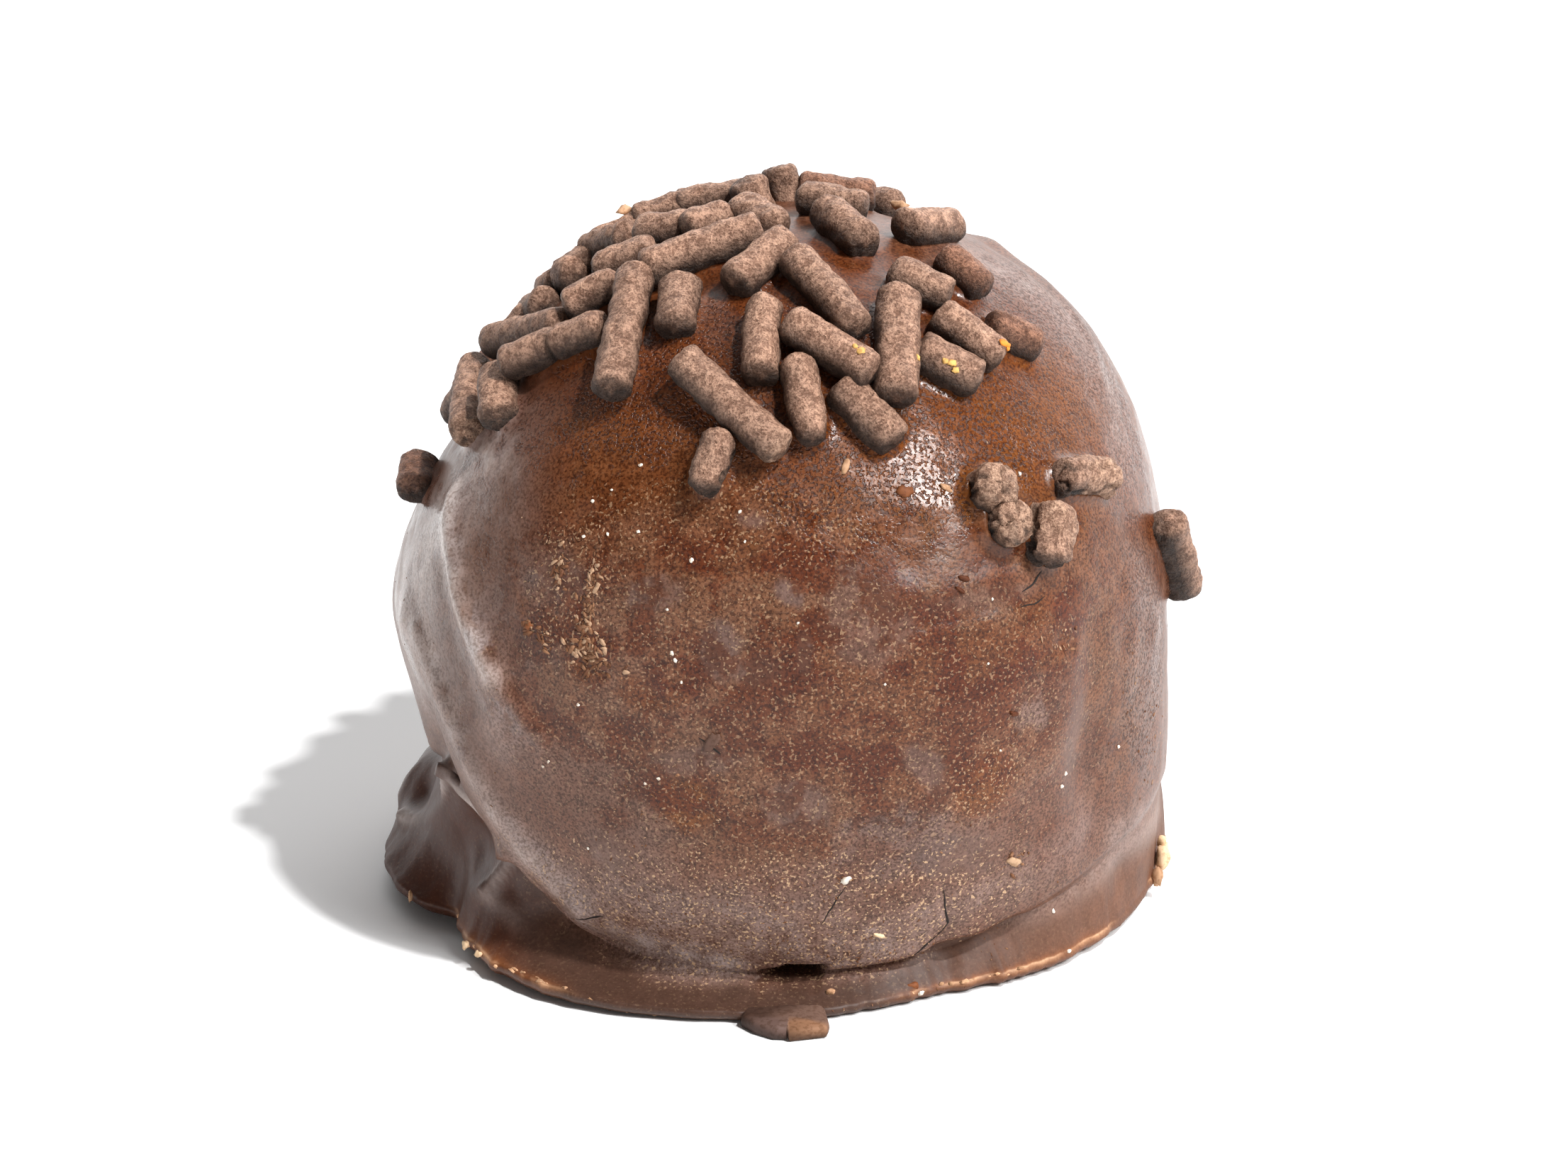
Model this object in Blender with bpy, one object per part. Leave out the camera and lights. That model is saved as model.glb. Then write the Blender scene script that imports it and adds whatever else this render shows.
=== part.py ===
"""Chocolate cake ball: a ball of cake dipped in chocolate, standing in the foot of
chocolate that ran off it and set. It is one solid, turned section by section round
the ball's axis: dome, wall, neck, foot, ragged rim and flat underside.

Bearings are degrees round the ball seen from above: 0 is the front (-Y), 90 is the
right (+X). Latitudes are degrees above the ball's middle. Sizes here are millimetres.
"""

import bpy
import numpy as np

MM = 0.001

# Driving sizes
BALL_RADIUS = 18.0
BALL_CENTRE_HEIGHT = 13.7
BASE_RADIUS = 12.0

# How finely the solid is faceted
SEGMENTS = 96
WALL_RINGS = 24
TUCK_RINGS = 4
FOOT_RINGS = 8
EDGE_RINGS = 3
UNDERSIDE_RINGS = 3

# The wall keeps falling almost straight below the middle where this is high.
SAG = ((-90, -0.06), (-45, 0.10), (0, 0.18), (50, 0.38), (90, 0.55), (135, 0.42), (180, 0.22), (225, 0.05))
# Latitude where the wall ends and tucks in to the neck
WALL_END = ((-160, -31), (-120, -26), (-85, -21), (-74, -17), (-62, -15.5), (-53, -18), (-46, -24.5), (-40, -32),
            (-34, -37.5), (-15, -39), (12, -39), (30, -34), (50, -30.5), (62, -27.5), (75, -25), (92, -24),
            (130, -29), (165, -34))
NECK_RADIUS = ((-160, 15.2), (-120, 15.7), (-85, 16.2), (-74, 16.6), (-62, 16.9), (-53, 16.5), (-46, 15.9),
               (-40, 15.2), (-34, 14.6), (-15, 14.3), (12, 14.0), (30, 15.0), (50, 16.2), (62, 16.9), (75, 17.3),
               (92, 17.3), (130, 16.2), (165, 15.3))
NECK_HEIGHT = ((-160, 2.6), (-120, 4.4), (-85, 6.4), (-74, 7.6), (-62, 8.2), (-53, 7.2), (-46, 5.2), (-40, 3.0),
               (-34, 1.9), (-15, 1.1), (12, 1.1), (30, 2.0), (50, 3.2), (62, 4.2), (75, 4.9), (92, 5.0),
               (130, 3.0), (165, 1.7))
# Outline of the foot, with the notch at its left and the lobes at its back
RIM_RADIUS = ((-170, 17.3), (-152, 18.2), (-135, 17.6), (-115, 18.5), (-100, 18.2), (-86, 18.8), (-75, 18.7),
              (-68, 18.1), (-63, 17.1), (-57, 17.6), (-44, 18.3), (-30, 18.2), (-15, 17.5), (8, 16.8),
              (25, 16.2), (45, 17.0), (60, 17.4), (75, 17.6), (92, 18.1), (108, 17.5), (126, 18.0),
              (145, 17.3), (165, 17.9))
RIM_HEIGHT = ((-170, 0.8), (-130, 1.2), (-100, 1.5), (-80, 1.5), (-63, 1.2), (-45, 1.0), (-15, 0.6),
              (20, 0.6), (50, 0.8), (90, 1.1), (130, 0.9))
# Gap that the set rim leaves over the table
RIM_LIFT = ((-170, 0.15), (-120, 0.5), (-80, 0.7), (-60, 0.55), (-40, 0.25), (-15, 0.05), (20, 0.05),
            (50, 0.2), (85, 0.4), (130, 0.2))
# How far the foot's top stands out between neck and rim: 0 hollow, 0.5 straight, 1 full
FOOT_FULLNESS = ((-160, 0.4), (-125, 0.6), (-98, 1.0), (-82, 0.35), (-66, 0.15), (-45, 0.3), (0, 0.35),
                 (30, 0.55), (60, 0.3), (75, 0.35), (95, 0.8), (135, 0.5))
# How squarely the wall turns under to the neck: 0 in a straight line, 1 in a full corner
TUCK_FULLNESS = 0.85
# How far the rim's edge swells out, and how far its underside starts in from the rim
EDGE_ROUNDING = 0.25

# The chip of chocolate that sticks out of the foot's front
CHIP_BEARING = 1.5
CHIP_HALF_WIDTH = 5.2
CHIP_REACH = 2.1

# Swellings and dents of the coat: bearing, latitude, angular size, height
SWELLINGS = (
    (112, 44, 27, 0.85),
    (122, 54, 5, 0.45),
    (-107, 38, 27, -1.3),
    (-90, -2, 11, 0.35),
    (-86, -15, 9, -0.75),
    (-66, -4, 11, -0.5),
    (-64, -14, 6.5, -0.8),
    (50, -12, 8, -0.4),
    (30, 8, 16, 0.2),
    (-20, -28, 14, 0.3),
    (180, 10, 22, 0.3),
    (-150, -8, 14, -0.4),
    (140, -10, 14, -0.3),
    (75, 75, 18, 0.15),
)
# Rounded ridges of the coat: the way they run (bearing, latitude), width, height
RIDGES = (
    (((-63, 20), (-55, 13), (-47, 4), (-42, -4)), 5.0, 0.3),
    (((-72, 2), (-60, -6), (-52, -14), (-47, -21), (-41, -28), (-36, -34)), 4.5, 0.45),
)
# Slow unevenness of the whole coat: wave number along x, y and z, start, height
WAVES = (
    (3.1, 1.7, 2.3, 0.4, 0.12),
    (-2.2, 3.6, 1.9, 1.7, 0.11),
    (1.4, -2.8, 4.1, 2.9, 0.10),
    (5.3, 2.1, -3.7, 0.9, 0.06),
    (-4.4, 5.2, 3.3, 2.2, 0.05),
)

CHOCOLATE_COLOUR = (0.130, 0.064, 0.040, 1.0)
CHOCOLATE_ROUGHNESS = 0.42


def around(knots, bearing):
    """The smooth value at each bearing of (bearing, value) knots that close on themselves."""
    turn, value = np.array(knots, float).T
    turn = np.concatenate((turn[-2:] - 360, turn, turn[:2] + 360))
    value = np.concatenate((value[-2:], value, value[:2]))
    slope = np.gradient(value, turn)
    place = (bearing - turn[2]) % 360 + turn[2]
    i = np.searchsorted(turn, place, side="right") - 1
    span = turn[i + 1] - turn[i]
    u = (place - turn[i]) / span
    start = (1 + 2 * u) * (1 - u) ** 2 * value[i] + u * (1 - u) ** 2 * span * slope[i]
    end = u * u * (3 - 2 * u) * value[i + 1] - u * u * (1 - u) * span * slope[i + 1]
    return start + end


def direction(bearing, latitude):
    """The unit vector from the ball's centre at a bearing and latitude in degrees."""
    turn, rise = np.radians(bearing), np.radians(latitude)
    level = np.cos(rise)
    return np.stack((np.sin(turn) * level, -np.cos(turn) * level, np.sin(rise) + 0 * turn), axis=-1)


def swelling_height(way):
    """What the swellings and dents add to the radius along each unit vector."""
    height = np.zeros(way.shape[:-1])
    for bearing, latitude, size, top in SWELLINGS:
        cosine = np.clip(way @ direction(bearing, latitude), -1, 1)
        height += top * np.exp(-(np.degrees(np.arccos(cosine)) / size) ** 2)
    return height


def ridge_height(way):
    """What the rounded ridges add to the radius along each unit vector."""
    height = np.zeros(way.shape[:-1])
    for path, width, top in RIDGES:
        points = [direction(bearing, latitude) for bearing, latitude in path]
        nearest = np.full(way.shape[:-1], 10.0)
        for a, b in zip(points, points[1:]):
            along = np.clip((way - a) @ (b - a) / ((b - a) @ (b - a)), 0, 1)
            gap = np.linalg.norm(way - a - along[..., None] * (b - a), axis=-1)
            nearest = np.minimum(nearest, gap)
        height += top * np.exp(-(np.degrees(nearest) / width) ** 2)
    return height


def unevenness(way):
    """The slow waves that keep the coat from being a true ball."""
    height = np.zeros(way.shape[:-1])
    for x, y, z, start, top in WAVES:
        height += top * np.sin(way @ np.array((x, y, z)) + start)
    return height


def coat_radius(bearing, latitude):
    """Distance of the coat from the ball's centre."""
    way = direction(bearing, latitude)
    below = np.sin(np.radians(np.minimum(latitude, 0)))
    sagged = BALL_RADIUS * (1 + around(SAG, bearing) * below ** 2)
    return sagged + swelling_height(way) + ridge_height(way) + unevenness(way)


def wall_point(bearing, latitude):
    """Radius and height of the coat, measured from the ball's axis and the table."""
    distance = coat_radius(bearing, latitude)
    rise = np.radians(latitude)
    return np.array((distance * np.cos(rise), BALL_CENTRE_HEIGHT + distance * np.sin(rise)))


def arc(start, bend, end, share):
    """A point of the curve from start to end that bend pulls to itself."""
    return (1 - share) ** 2 * start + 2 * share * (1 - share) * bend + share ** 2 * end


def corner(neck, end, fullness):
    """The bend between neck and end: fullness 1 is right over the end, at the neck's height."""
    return np.array((neck[0] + fullness * (end[0] - neck[0]), end[1] + fullness * (neck[1] - end[1])))


def rim_radius(bearing):
    """Outline of the foot, with the chip that sticks out of its front."""
    off = (bearing - CHIP_BEARING + 180) % 360 - 180
    return around(RIM_RADIUS, bearing) + CHIP_REACH * np.exp(-(off / CHIP_HALF_WIDTH) ** 6)


def section(bearing):
    """The rings of one section of the ball, from below the dome's top to the base."""
    wall_end = around(WALL_END, bearing)
    points = []
    for k in range(1, WALL_RINGS + 1):
        points.append(wall_point(bearing, 90 + (wall_end - 90) * k / WALL_RINGS))
    wall = points[-1]
    neck = np.array((around(NECK_RADIUS, bearing), around(NECK_HEIGHT, bearing)))
    bend = corner(neck, wall, TUCK_FULLNESS)
    for k in range(1, TUCK_RINGS + 1):
        points.append(arc(wall, bend, neck, k / TUCK_RINGS))
    lift = around(RIM_LIFT, bearing)
    rim = np.array((rim_radius(bearing), around(RIM_HEIGHT, bearing)))
    bend = corner(neck, rim, around(FOOT_FULLNESS, bearing))
    for k in range(1, FOOT_RINGS + 1):
        points.append(arc(neck, bend, rim, k / FOOT_RINGS))
    under = np.array((rim[0] - EDGE_ROUNDING, lift))
    bend = np.array((rim[0] + EDGE_ROUNDING, (rim[1] + lift) / 2))
    for k in range(1, EDGE_RINGS + 1):
        points.append(arc(rim, bend, under, k / EDGE_RINGS))
    for k in range(1, UNDERSIDE_RINGS + 1):
        share = k / UNDERSIDE_RINGS
        points.append(np.array((under[0] + share * (BASE_RADIUS - under[0]), lift * (1 - share) ** 2)))
    return points


def ball_mesh():
    """The closed mesh of the cake ball, centred on its own footprint."""
    bearings = np.arange(SEGMENTS) * 360 / SEGMENTS
    rings = np.array([section(bearing) for bearing in bearings]).transpose(1, 0, 2)
    turn = np.radians(bearings)
    verts = [(0.0, 0.0, BALL_CENTRE_HEIGHT + float(coat_radius(0.0, 90.0)))]
    for ring in rings:
        verts += zip(ring[:, 0] * np.sin(turn), -ring[:, 0] * np.cos(turn), ring[:, 1])
    verts = np.array(verts)
    middle = (verts[:, :2].min(axis=0) + verts[:, :2].max(axis=0)) / 2
    verts[:, :2] -= middle
    faces = []
    for j in range(SEGMENTS):
        nxt = (j + 1) % SEGMENTS
        faces.append((0, 1 + j, 1 + nxt))
        for i in range(len(rings) - 1):
            a, b = 1 + i * SEGMENTS, 1 + (i + 1) * SEGMENTS
            faces.append((a + j, b + j, b + nxt, a + nxt))
    last = 1 + (len(rings) - 1) * SEGMENTS
    faces.append(tuple(last + j for j in reversed(range(SEGMENTS))))
    mesh = bpy.data.meshes.new("cake_ball")
    mesh.from_pydata((verts * MM).tolist(), [], faces)
    mesh.update()
    mesh.shade_smooth()
    mesh.set_sharp_from_angle(angle=np.radians(40))
    return mesh


def chocolate():
    """The set chocolate of the coat: dark brown with a soft sheen."""
    material = bpy.data.materials.new("chocolate")
    material.use_nodes = True
    shader = material.node_tree.nodes["Principled BSDF"]
    shader.inputs["Base Color"].default_value = CHOCOLATE_COLOUR
    shader.inputs["Roughness"].default_value = CHOCOLATE_ROUGHNESS
    shader.inputs["Metallic"].default_value = 0.0
    return material


def main():
    for thing in list(bpy.data.objects):
        bpy.data.objects.remove(thing)
    ball = bpy.data.objects.new("cake_ball", ball_mesh())
    ball.data.materials.append(chocolate())
    bpy.context.scene.collection.objects.link(ball)


main()
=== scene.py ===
"""Looks of the chocolate cake ball: the set coat and its foot, the sprinkles on its top,
and the crumbs, flakes and hairline cracks on it.

Bearings are degrees round the ball seen from above: 0 is the front (-Y), 90 is the
right (+X). Latitudes are degrees above the ball's middle. Sizes are millimetres, with
the ball's axis at x = y = 0 and the table at z = 0; `to_row` moves them to the row frame.
"""

import bmesh
import bpy
import numpy as np
from mathutils import Matrix, Vector, noise
from mathutils.bvhtree import BVHTree

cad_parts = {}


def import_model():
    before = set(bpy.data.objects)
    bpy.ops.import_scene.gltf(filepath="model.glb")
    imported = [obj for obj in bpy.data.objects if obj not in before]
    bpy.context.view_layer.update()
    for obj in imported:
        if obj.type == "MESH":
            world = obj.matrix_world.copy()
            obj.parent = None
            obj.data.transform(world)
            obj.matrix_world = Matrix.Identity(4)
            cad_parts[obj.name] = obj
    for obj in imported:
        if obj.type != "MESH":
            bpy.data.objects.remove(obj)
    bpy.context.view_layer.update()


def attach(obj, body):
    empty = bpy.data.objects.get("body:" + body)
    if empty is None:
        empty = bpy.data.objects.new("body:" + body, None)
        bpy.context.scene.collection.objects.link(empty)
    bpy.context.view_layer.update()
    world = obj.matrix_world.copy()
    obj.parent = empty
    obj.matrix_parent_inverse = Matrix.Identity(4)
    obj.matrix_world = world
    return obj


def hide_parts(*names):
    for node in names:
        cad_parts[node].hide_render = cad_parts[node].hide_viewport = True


MM = 0.001
AXIS = (0.331, 0.434)  # where the ball's axis stands in the row frame

# ---- Shape of the ball, the same as the part's but for TUCK_FULLNESS --------------------
BALL_RADIUS = 18.0
BALL_CENTRE = np.array((0.0, 0.0, 13.7))
BASE_RADIUS = 12.0
SAG = ((-90, -0.06), (-45, 0.10), (0, 0.18), (50, 0.38), (90, 0.55), (135, 0.42), (180, 0.22),
       (225, 0.05))
WALL_END = ((-160, -31), (-120, -26), (-85, -21), (-74, -17), (-62, -15.5), (-53, -18),
            (-46, -24.5), (-40, -32), (-34, -37.5), (-15, -39), (12, -39), (30, -34), (50, -30.5),
            (62, -27.5), (75, -25), (92, -24), (130, -29), (165, -34))
NECK_RADIUS = ((-160, 15.2), (-120, 15.7), (-85, 16.2), (-74, 16.6), (-62, 16.9), (-53, 16.5),
               (-46, 15.9), (-40, 15.2), (-34, 14.6), (-15, 14.3), (12, 14.0), (30, 15.0),
               (50, 16.2), (62, 16.9), (75, 17.3), (92, 17.3), (130, 16.2), (165, 15.3))
NECK_HEIGHT = ((-160, 2.6), (-120, 4.4), (-85, 6.4), (-74, 7.6), (-62, 8.2), (-53, 7.2),
               (-46, 5.2), (-40, 3.0), (-34, 1.9), (-15, 1.1), (12, 1.1), (30, 2.0), (50, 3.2),
               (62, 4.2), (75, 4.9), (92, 5.0), (130, 3.0), (165, 1.7))
RIM_RADIUS = ((-170, 17.3), (-152, 18.2), (-135, 17.6), (-115, 18.5), (-100, 18.2), (-86, 18.8),
              (-75, 18.7), (-68, 18.1), (-63, 17.1), (-57, 17.6), (-44, 18.3), (-30, 18.2),
              (-15, 17.5), (8, 16.8), (25, 16.2), (45, 17.0), (60, 17.4), (75, 17.6), (92, 18.1),
              (108, 17.5), (126, 18.0), (145, 17.3), (165, 17.9))
RIM_HEIGHT = ((-170, 0.8), (-130, 1.2), (-100, 1.5), (-80, 1.5), (-63, 1.2), (-45, 1.0), (-15, 0.6),
              (20, 0.6), (50, 0.8), (90, 1.1), (130, 0.9))
RIM_LIFT = ((-170, 0.15), (-120, 0.5), (-80, 0.7), (-60, 0.55), (-40, 0.25), (-15, 0.05), (20, 0.05),
            (50, 0.2), (85, 0.4), (130, 0.2))
FOOT_FULLNESS = ((-160, 0.4), (-125, 0.6), (-98, 1.0), (-82, 0.35), (-66, 0.15), (-45, 0.3), (0, 0.35),
                 (30, 0.55), (60, 0.3), (75, 0.35), (95, 0.8), (135, 0.5))
TUCK_FULLNESS = ((-180, 0.85), (-60, 0.85), (0, 0.85), (36, 0.85), (50, 0.45), (92, 0.45),
                 (115, 0.85))
EDGE_ROUNDING = 0.25
SWELLINGS = (
    (112, 44, 27, 0.85),
    (122, 54, 5, 0.45),
    (-107, 38, 27, -1.3),
    (-90, -2, 11, 0.35),
    (-86, -15, 9, -0.75),
    (-66, -4, 11, -0.5),
    (-64, -14, 6.5, -0.8),
    (50, -12, 8, -0.4),
    (30, 8, 16, 0.2),
    (-20, -28, 14, 0.3),
    (180, 10, 22, 0.3),
    (-150, -8, 14, -0.4),
    (140, -10, 14, -0.3),
    (75, 75, 18, 0.15),
)
RIDGES = (
    (((-63, 20), (-55, 13), (-47, 4), (-42, -4)), 5.0, 0.3),
    (((-72, 2), (-60, -6), (-52, -14), (-47, -21), (-41, -28), (-36, -34)), 4.5, 0.45),
)
WAVES = (
    (3.1, 1.7, 2.3, 0.4, 0.12),
    (-2.2, 3.6, 1.9, 1.7, 0.11),
    (1.4, -2.8, 4.1, 2.9, 0.10),
    (5.3, 2.1, -3.7, 0.9, 0.06),
    (-4.4, 5.2, 3.3, 2.2, 0.05),
)

# ---- How finely the coat is made --------------------------------------------------------
SEGMENTS = 448
WALL_RINGS = 160
TUCK_RINGS = 12
FOOT_RINGS = 30
EDGE_RINGS = 9
UNDERSIDE_RINGS = 9
FRONT_CROWDING = 0.35  # 0 spaces the sections evenly; more crowds them to the front

# ---- Finer relief of the coat -----------------------------------------------------------
# Creases and small ridges: path (bearing, latitude), width in degrees, height in mm
CREASES = (
    (((-66, 24), (-61, 19.5), (-54, 12.5), (-46, 5.5), (-40, 0), (-36, -4)), 1.7, 0.24),
    (((-67, 3), (-60, -2), (-53, -7), (-49, -13), (-45, -19), (-39, -26), (-34, -32)), 1.7, 0.20),
    (((-60, 14), (-53, 5), (-48, -1)), 2.6, -0.18),
    (((122, 57), (104, 54), (93, 48), (84, 42), (72, 38)), 1.3, -0.14),
    (((118, 54), (101, 50), (89, 45), (80, 39)), 2.5, 0.12),
    (((49, 8), (48, -3), (49, -11), (54, -22)), 4.0, -0.22),
    (((43, 6), (43, -6), (44, -16)), 4.0, 0.12),
    (((20, 16), (30, 17), (38, 16)), 1.6, -0.1),
    (((18, 20), (30, 20), (41, 19)), 2.2, 0.08),
    (((24, -25), (27, -32), (24, -37)), 0.7, -0.12),
    (((-29, 2), (-17, -2), (-6, -3)), 3.0, -0.08),
)
# Dents and pits: bearing, latitude, size in degrees, height in mm
DENTS = (
    (-29, 9, 1.6, -0.18),
    (-26, 8, 1.0, -0.15),
    (-19, 6, 2.0, -0.12),
    (-16, -9, 2.5, -0.10),
    (-12, -12, 2.2, -0.12),
    (42, 9, 1.3, -0.18),
    (44, 8, 0.9, -0.15),
    (19, 24, 1.5, -0.08),
    (29, -9, 5.0, 0.08),
    (12, 17, 6.5, 0.06),
    (62, 12, 4.0, 0.12),
    (58, 5, 3.0, -0.12),
    (66, 20, 3.0, -0.10),
    (70, 2, 3.5, 0.14),
    (34, 28, 3.5, 0.18),
    (50, 31, 3.0, 0.12),
)
# Ribs of chocolate on the foot: path (bearing, radius, height above the table), width, rise
RIBS = (
    (((-64, 17.0, 8.0), (-70, 17.3, 5.8), (-77, 17.6, 4.2), (-86, 18.1, 3.0)), 0.42, 0.62),
    (((-64, 17.0, 8.0), (-57, 17.0, 7.2), (-50, 17.0, 6.2), (-46, 16.9, 6.0)), 0.42, 0.45),
    (((-46, 16.8, 6.2), (-49, 16.6, 4.8), (-52, 17.0, 3.5)), 0.32, 0.50),
    (((-46, 16.8, 6.2), (-43, 16.2, 4.6)), 0.30, 0.35),
    (((-90, 17.2, 6.6), (-95, 17.9, 5.0), (-93, 18.5, 3.2)), 0.50, 0.50),
    (((-58, 17.7, 1.6), (-56, 17.3, 2.8), (-53, 17.1, 3.4)), 0.5, 0.25),
)
# Hollows of the foot: bearing, radius, height above the table, size, depth
HOLLOWS = (
    (-57, 17.0, 5.2, 1.5, 0.85),
    (-66, 17.3, 3.4, 1.8, 0.65),
    (-86, 17.4, 4.5, 1.0, 0.55),
    (-48, 16.6, 3.9, 0.8, 0.30),
    (-44, 16.8, 2.4, 1.6, 0.35),
    (64, 17.2, 2.9, 1.3, 0.40),
    (28, 15.4, 1.9, 1.2, 0.40),
    (38, 15.9, 2.2, 1.0, 0.30),
)
# How far the coat has run together with the foot under the ball, from 0 to 1
RUN_TOGETHER = ((-180, 0), (-60, 0), (-42, 0.45), (-22, 0.9), (0, 0.9), (14, 0.9), (24, 0.5), (33, 0.25),
                (44, 0.5), (60, 0.45), (84, 0.4), (110, 0), (140, 0))
RUN_LATITUDE = 2.5  # degrees that it shortens the wall
RUN_NECK = (0.9, 0.5)  # how far out and up the neck goes
# The hole under the ball's front, where the coat never met the foot
HOLE_BEARING = 2.0
HOLE_HALF_WIDTH = 4.2
HOLE_HEIGHT = 1.5
HOLE_RISE = 0.03  # mm higher for each degree to the right
HOLE_GAPE = 0.40  # half its height
HOLE_WIDENING = 0.025  # mm that this grows for each degree to the right
HOLE_DEPTH = 2.8
# Where the rim is ragged: bearing, how far round, roughness in mm
RAGGED = ((38, 24, 0.22), (-46, 16, 0.20), (85, 14, 0.22), (3, 12, 0.15), (180, 90, 0.10),
          (-95, 30, 0.08))
EVEN_RIM = 0.03  # roughness of the rest
# How the coat creeps up the sprinkles stuck in it
CREEP_HEIGHT = 0.34
CREEP_WIDTH = 0.28
CREEP_LINE = 0.9  # where it is highest, in sprinkle radii from the axis
CREEP_REACH = 2.2  # mm past a sprinkle's end where it is over

# ---- Colours, in linear RGB -------------------------------------------------------------
BROWN = (0.122, 0.045, 0.019)
BARE = (0.098, 0.025, 0.006)
BLOOM = (0.127, 0.066, 0.046)
ASH = (0.120, 0.070, 0.056)
FOOT = (0.060, 0.029, 0.019)
DARK_FOOT = (0.056, 0.014, 0.005)
# pale colour of painted highlights on the ridges, limbs and the foot's webs, and of a faint painted sheen
# on the foot
PAINTED_HIGHLIGHT = (0.500, 0.420, 0.385)
WARM = (0.128, 0.036, 0.006)
SPECK = (0.540, 0.345, 0.200)
CHIP = (0.150, 0.085, 0.062)
RUST = (0.190, 0.060, 0.018)
TAN = (0.540, 0.310, 0.175)
SPRINKLE = (0.176, 0.086, 0.052)
SPRINKLE_COATED = (0.130, 0.052, 0.028)
SPRINKLE_DUST = (3.0, 3.6, 4.05)  # how much paler dust makes them
SPRINKLE_INSIDE = (0.270, 0.140, 0.085)
CRUMB_TONES = ((0.25, 0.12, 0.06), (0.17, 0.07, 0.03), (0.42, 0.26, 0.16), (0.13, 0.05, 0.022))
BEAD = (0.86, 0.78, 0.68)
ORANGE = (0.80, 0.26, 0.03)
YELLOW = (0.72, 0.43, 0.13)
STRAW = (0.78, 0.55, 0.34)
SHEEN_TINT = (1.0, 1.0, 1.0)  # of reflections seen straight on
# near-black painted shade of the hairline cracks
CRACK_SHADE = (0.012, 0.007, 0.005)

# How much of the foot has its own darker colour, and how far it shines
FOOT_SHARE = ((-180, 0.85), (-120, 0.95), (-60, 0.97), (0, 0.97), (20, 0.93), (32, 0.6),
              (44, 0.34), (100, 0.28), (145, 0.7))
FOOT_GLOSS = ((-180, -0.6), (-120, -0.3), (-60, -0.2), (-20, 0.1), (10, -0.7), (40, -1.2),
              (100, -1.2), (150, -0.9))
# Down the section: where the foot's colour starts, how much later where the coat has run
# together with it, and over how much it comes in
FOOT_START, FOOT_DELAY, FOOT_FADE = 1.4, 0.75, 0.5
# Lengths of the way round: the first and last bearing, each with how far it fades
DARK_SIDE = ((-130, 20), (-38, 10))
# where the foot takes a faint pale painted sheen
SHEEN_SIDE = ((36, 14), (105, 15))
SMOOTH_SIDE = ((-170, 40), (-38, 14))
SMOOTH_SHARE = 0.75
# Where the rim is broken: bearing, how far round, strength
BROKEN_RIM = ((38, 21, 1.0), (-47, 14, 1.0), (84, 8, 0.8), (21, 4, 0.8), (180, 80, 0.3))
# Down the section: where rust and the pale lip are strongest, and how fast they fade up and down
RUST_DEPTH, RUST_FADES = 2.98, (0.07, 0.5)
LIP_DEPTH, LIP_FADES = 3.0, (0.014, 0.15)
# painted shade deep in the hole under the ball's front
HOLE_SHADE = 0.8  # how much darker the deepest of the hole is
CREEP_GLOSS = 2.6  # for each mm that the coat has crept up
CREEP_SMOOTHING = 2.4

# Tints of the coat's blotches, grain, painted glints and painted pit shade, the sprinkles' pinholes and
# crumbs' hollows
BARE_TINT = (0.70, 0.50, 0.38)
BLOOM_TINT = (1.03, 1.17, 1.32)
GRAIN_AND_PIT_SHADE = (0.50, 0.42, 0.38)
PAINTED_GLINTS = (1.28, 1.30, 1.36)
PALE_LUMPS = (1.22, 1.22, 1.22)
PINHOLES = (0.42, 0.32, 0.27)
CRUMB_HOLLOWS = (0.72, 0.66, 0.60)

# Patches of the coat: bearing, latitude, half width, half height, tilt, strength
BLOOM_PATCHES = (
    (-62, 8, 24, 34, 0, 0.75),
    (-46, 21, 9, 10, 0, 0.6),
    (0, -34, 50, 9, 0, 0.55),
    (-32, -12, 18, 10, -15, 0.4),
    (24, -22, 30, 8, 15, 0.55),
    (46, -20, 12, 12, 0, 0.25),
    (17, -17, 9, 6, 0, 0.95),
    (38, 2, 5, 4, 0, 0.8),
    (80, 10, 18, 40, 0, 0.2),
    (75, 50, 25, 12, -10, 0.7),
    (150, 0, 60, 60, 0, 0.5),
    (-150, 0, 60, 60, 0, 0.5),
)
ASH_PATCHES = (
    (1, 21, 2.2, 1.6, -30, 0.8),
    (-9, 13, 2.8, 4.0, 10, 0.75),
    (-4, 10, 3.5, 2.0, 0, 0.6),
    (3, 13, 1.3, 3.0, 0, 0.8),
    (10, 24, 1.7, 1.1, 0, 0.7),
    (14, 19.5, 2.4, 3.0, 20, 0.8),
    (12, 17, 6.5, 6.5, 0, 0.45),
    (29, 18, 8.5, 1.8, 0, 0.35),
    (-5, 31, 1.8, 1.0, 0, 0.7),
    (-19, 20, 4.0, 2.5, 20, 0.6),
    (-35, 20, 4.0, 3.0, 0, 0.55),
    (-13, -4, 7.0, 2.2, 10, 0.5),
    (2, -10, 4.5, 4.0, 0, 0.6),
    (20, -5, 2.2, 5.0, 35, 0.6),
    (27, -20, 6.0, 4.0, 0, 0.5),
    (46, -6, 2.5, 9.0, 0, 0.4),
    (-27, -20, 3.0, 3.0, 0, 0.5),
)
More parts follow.
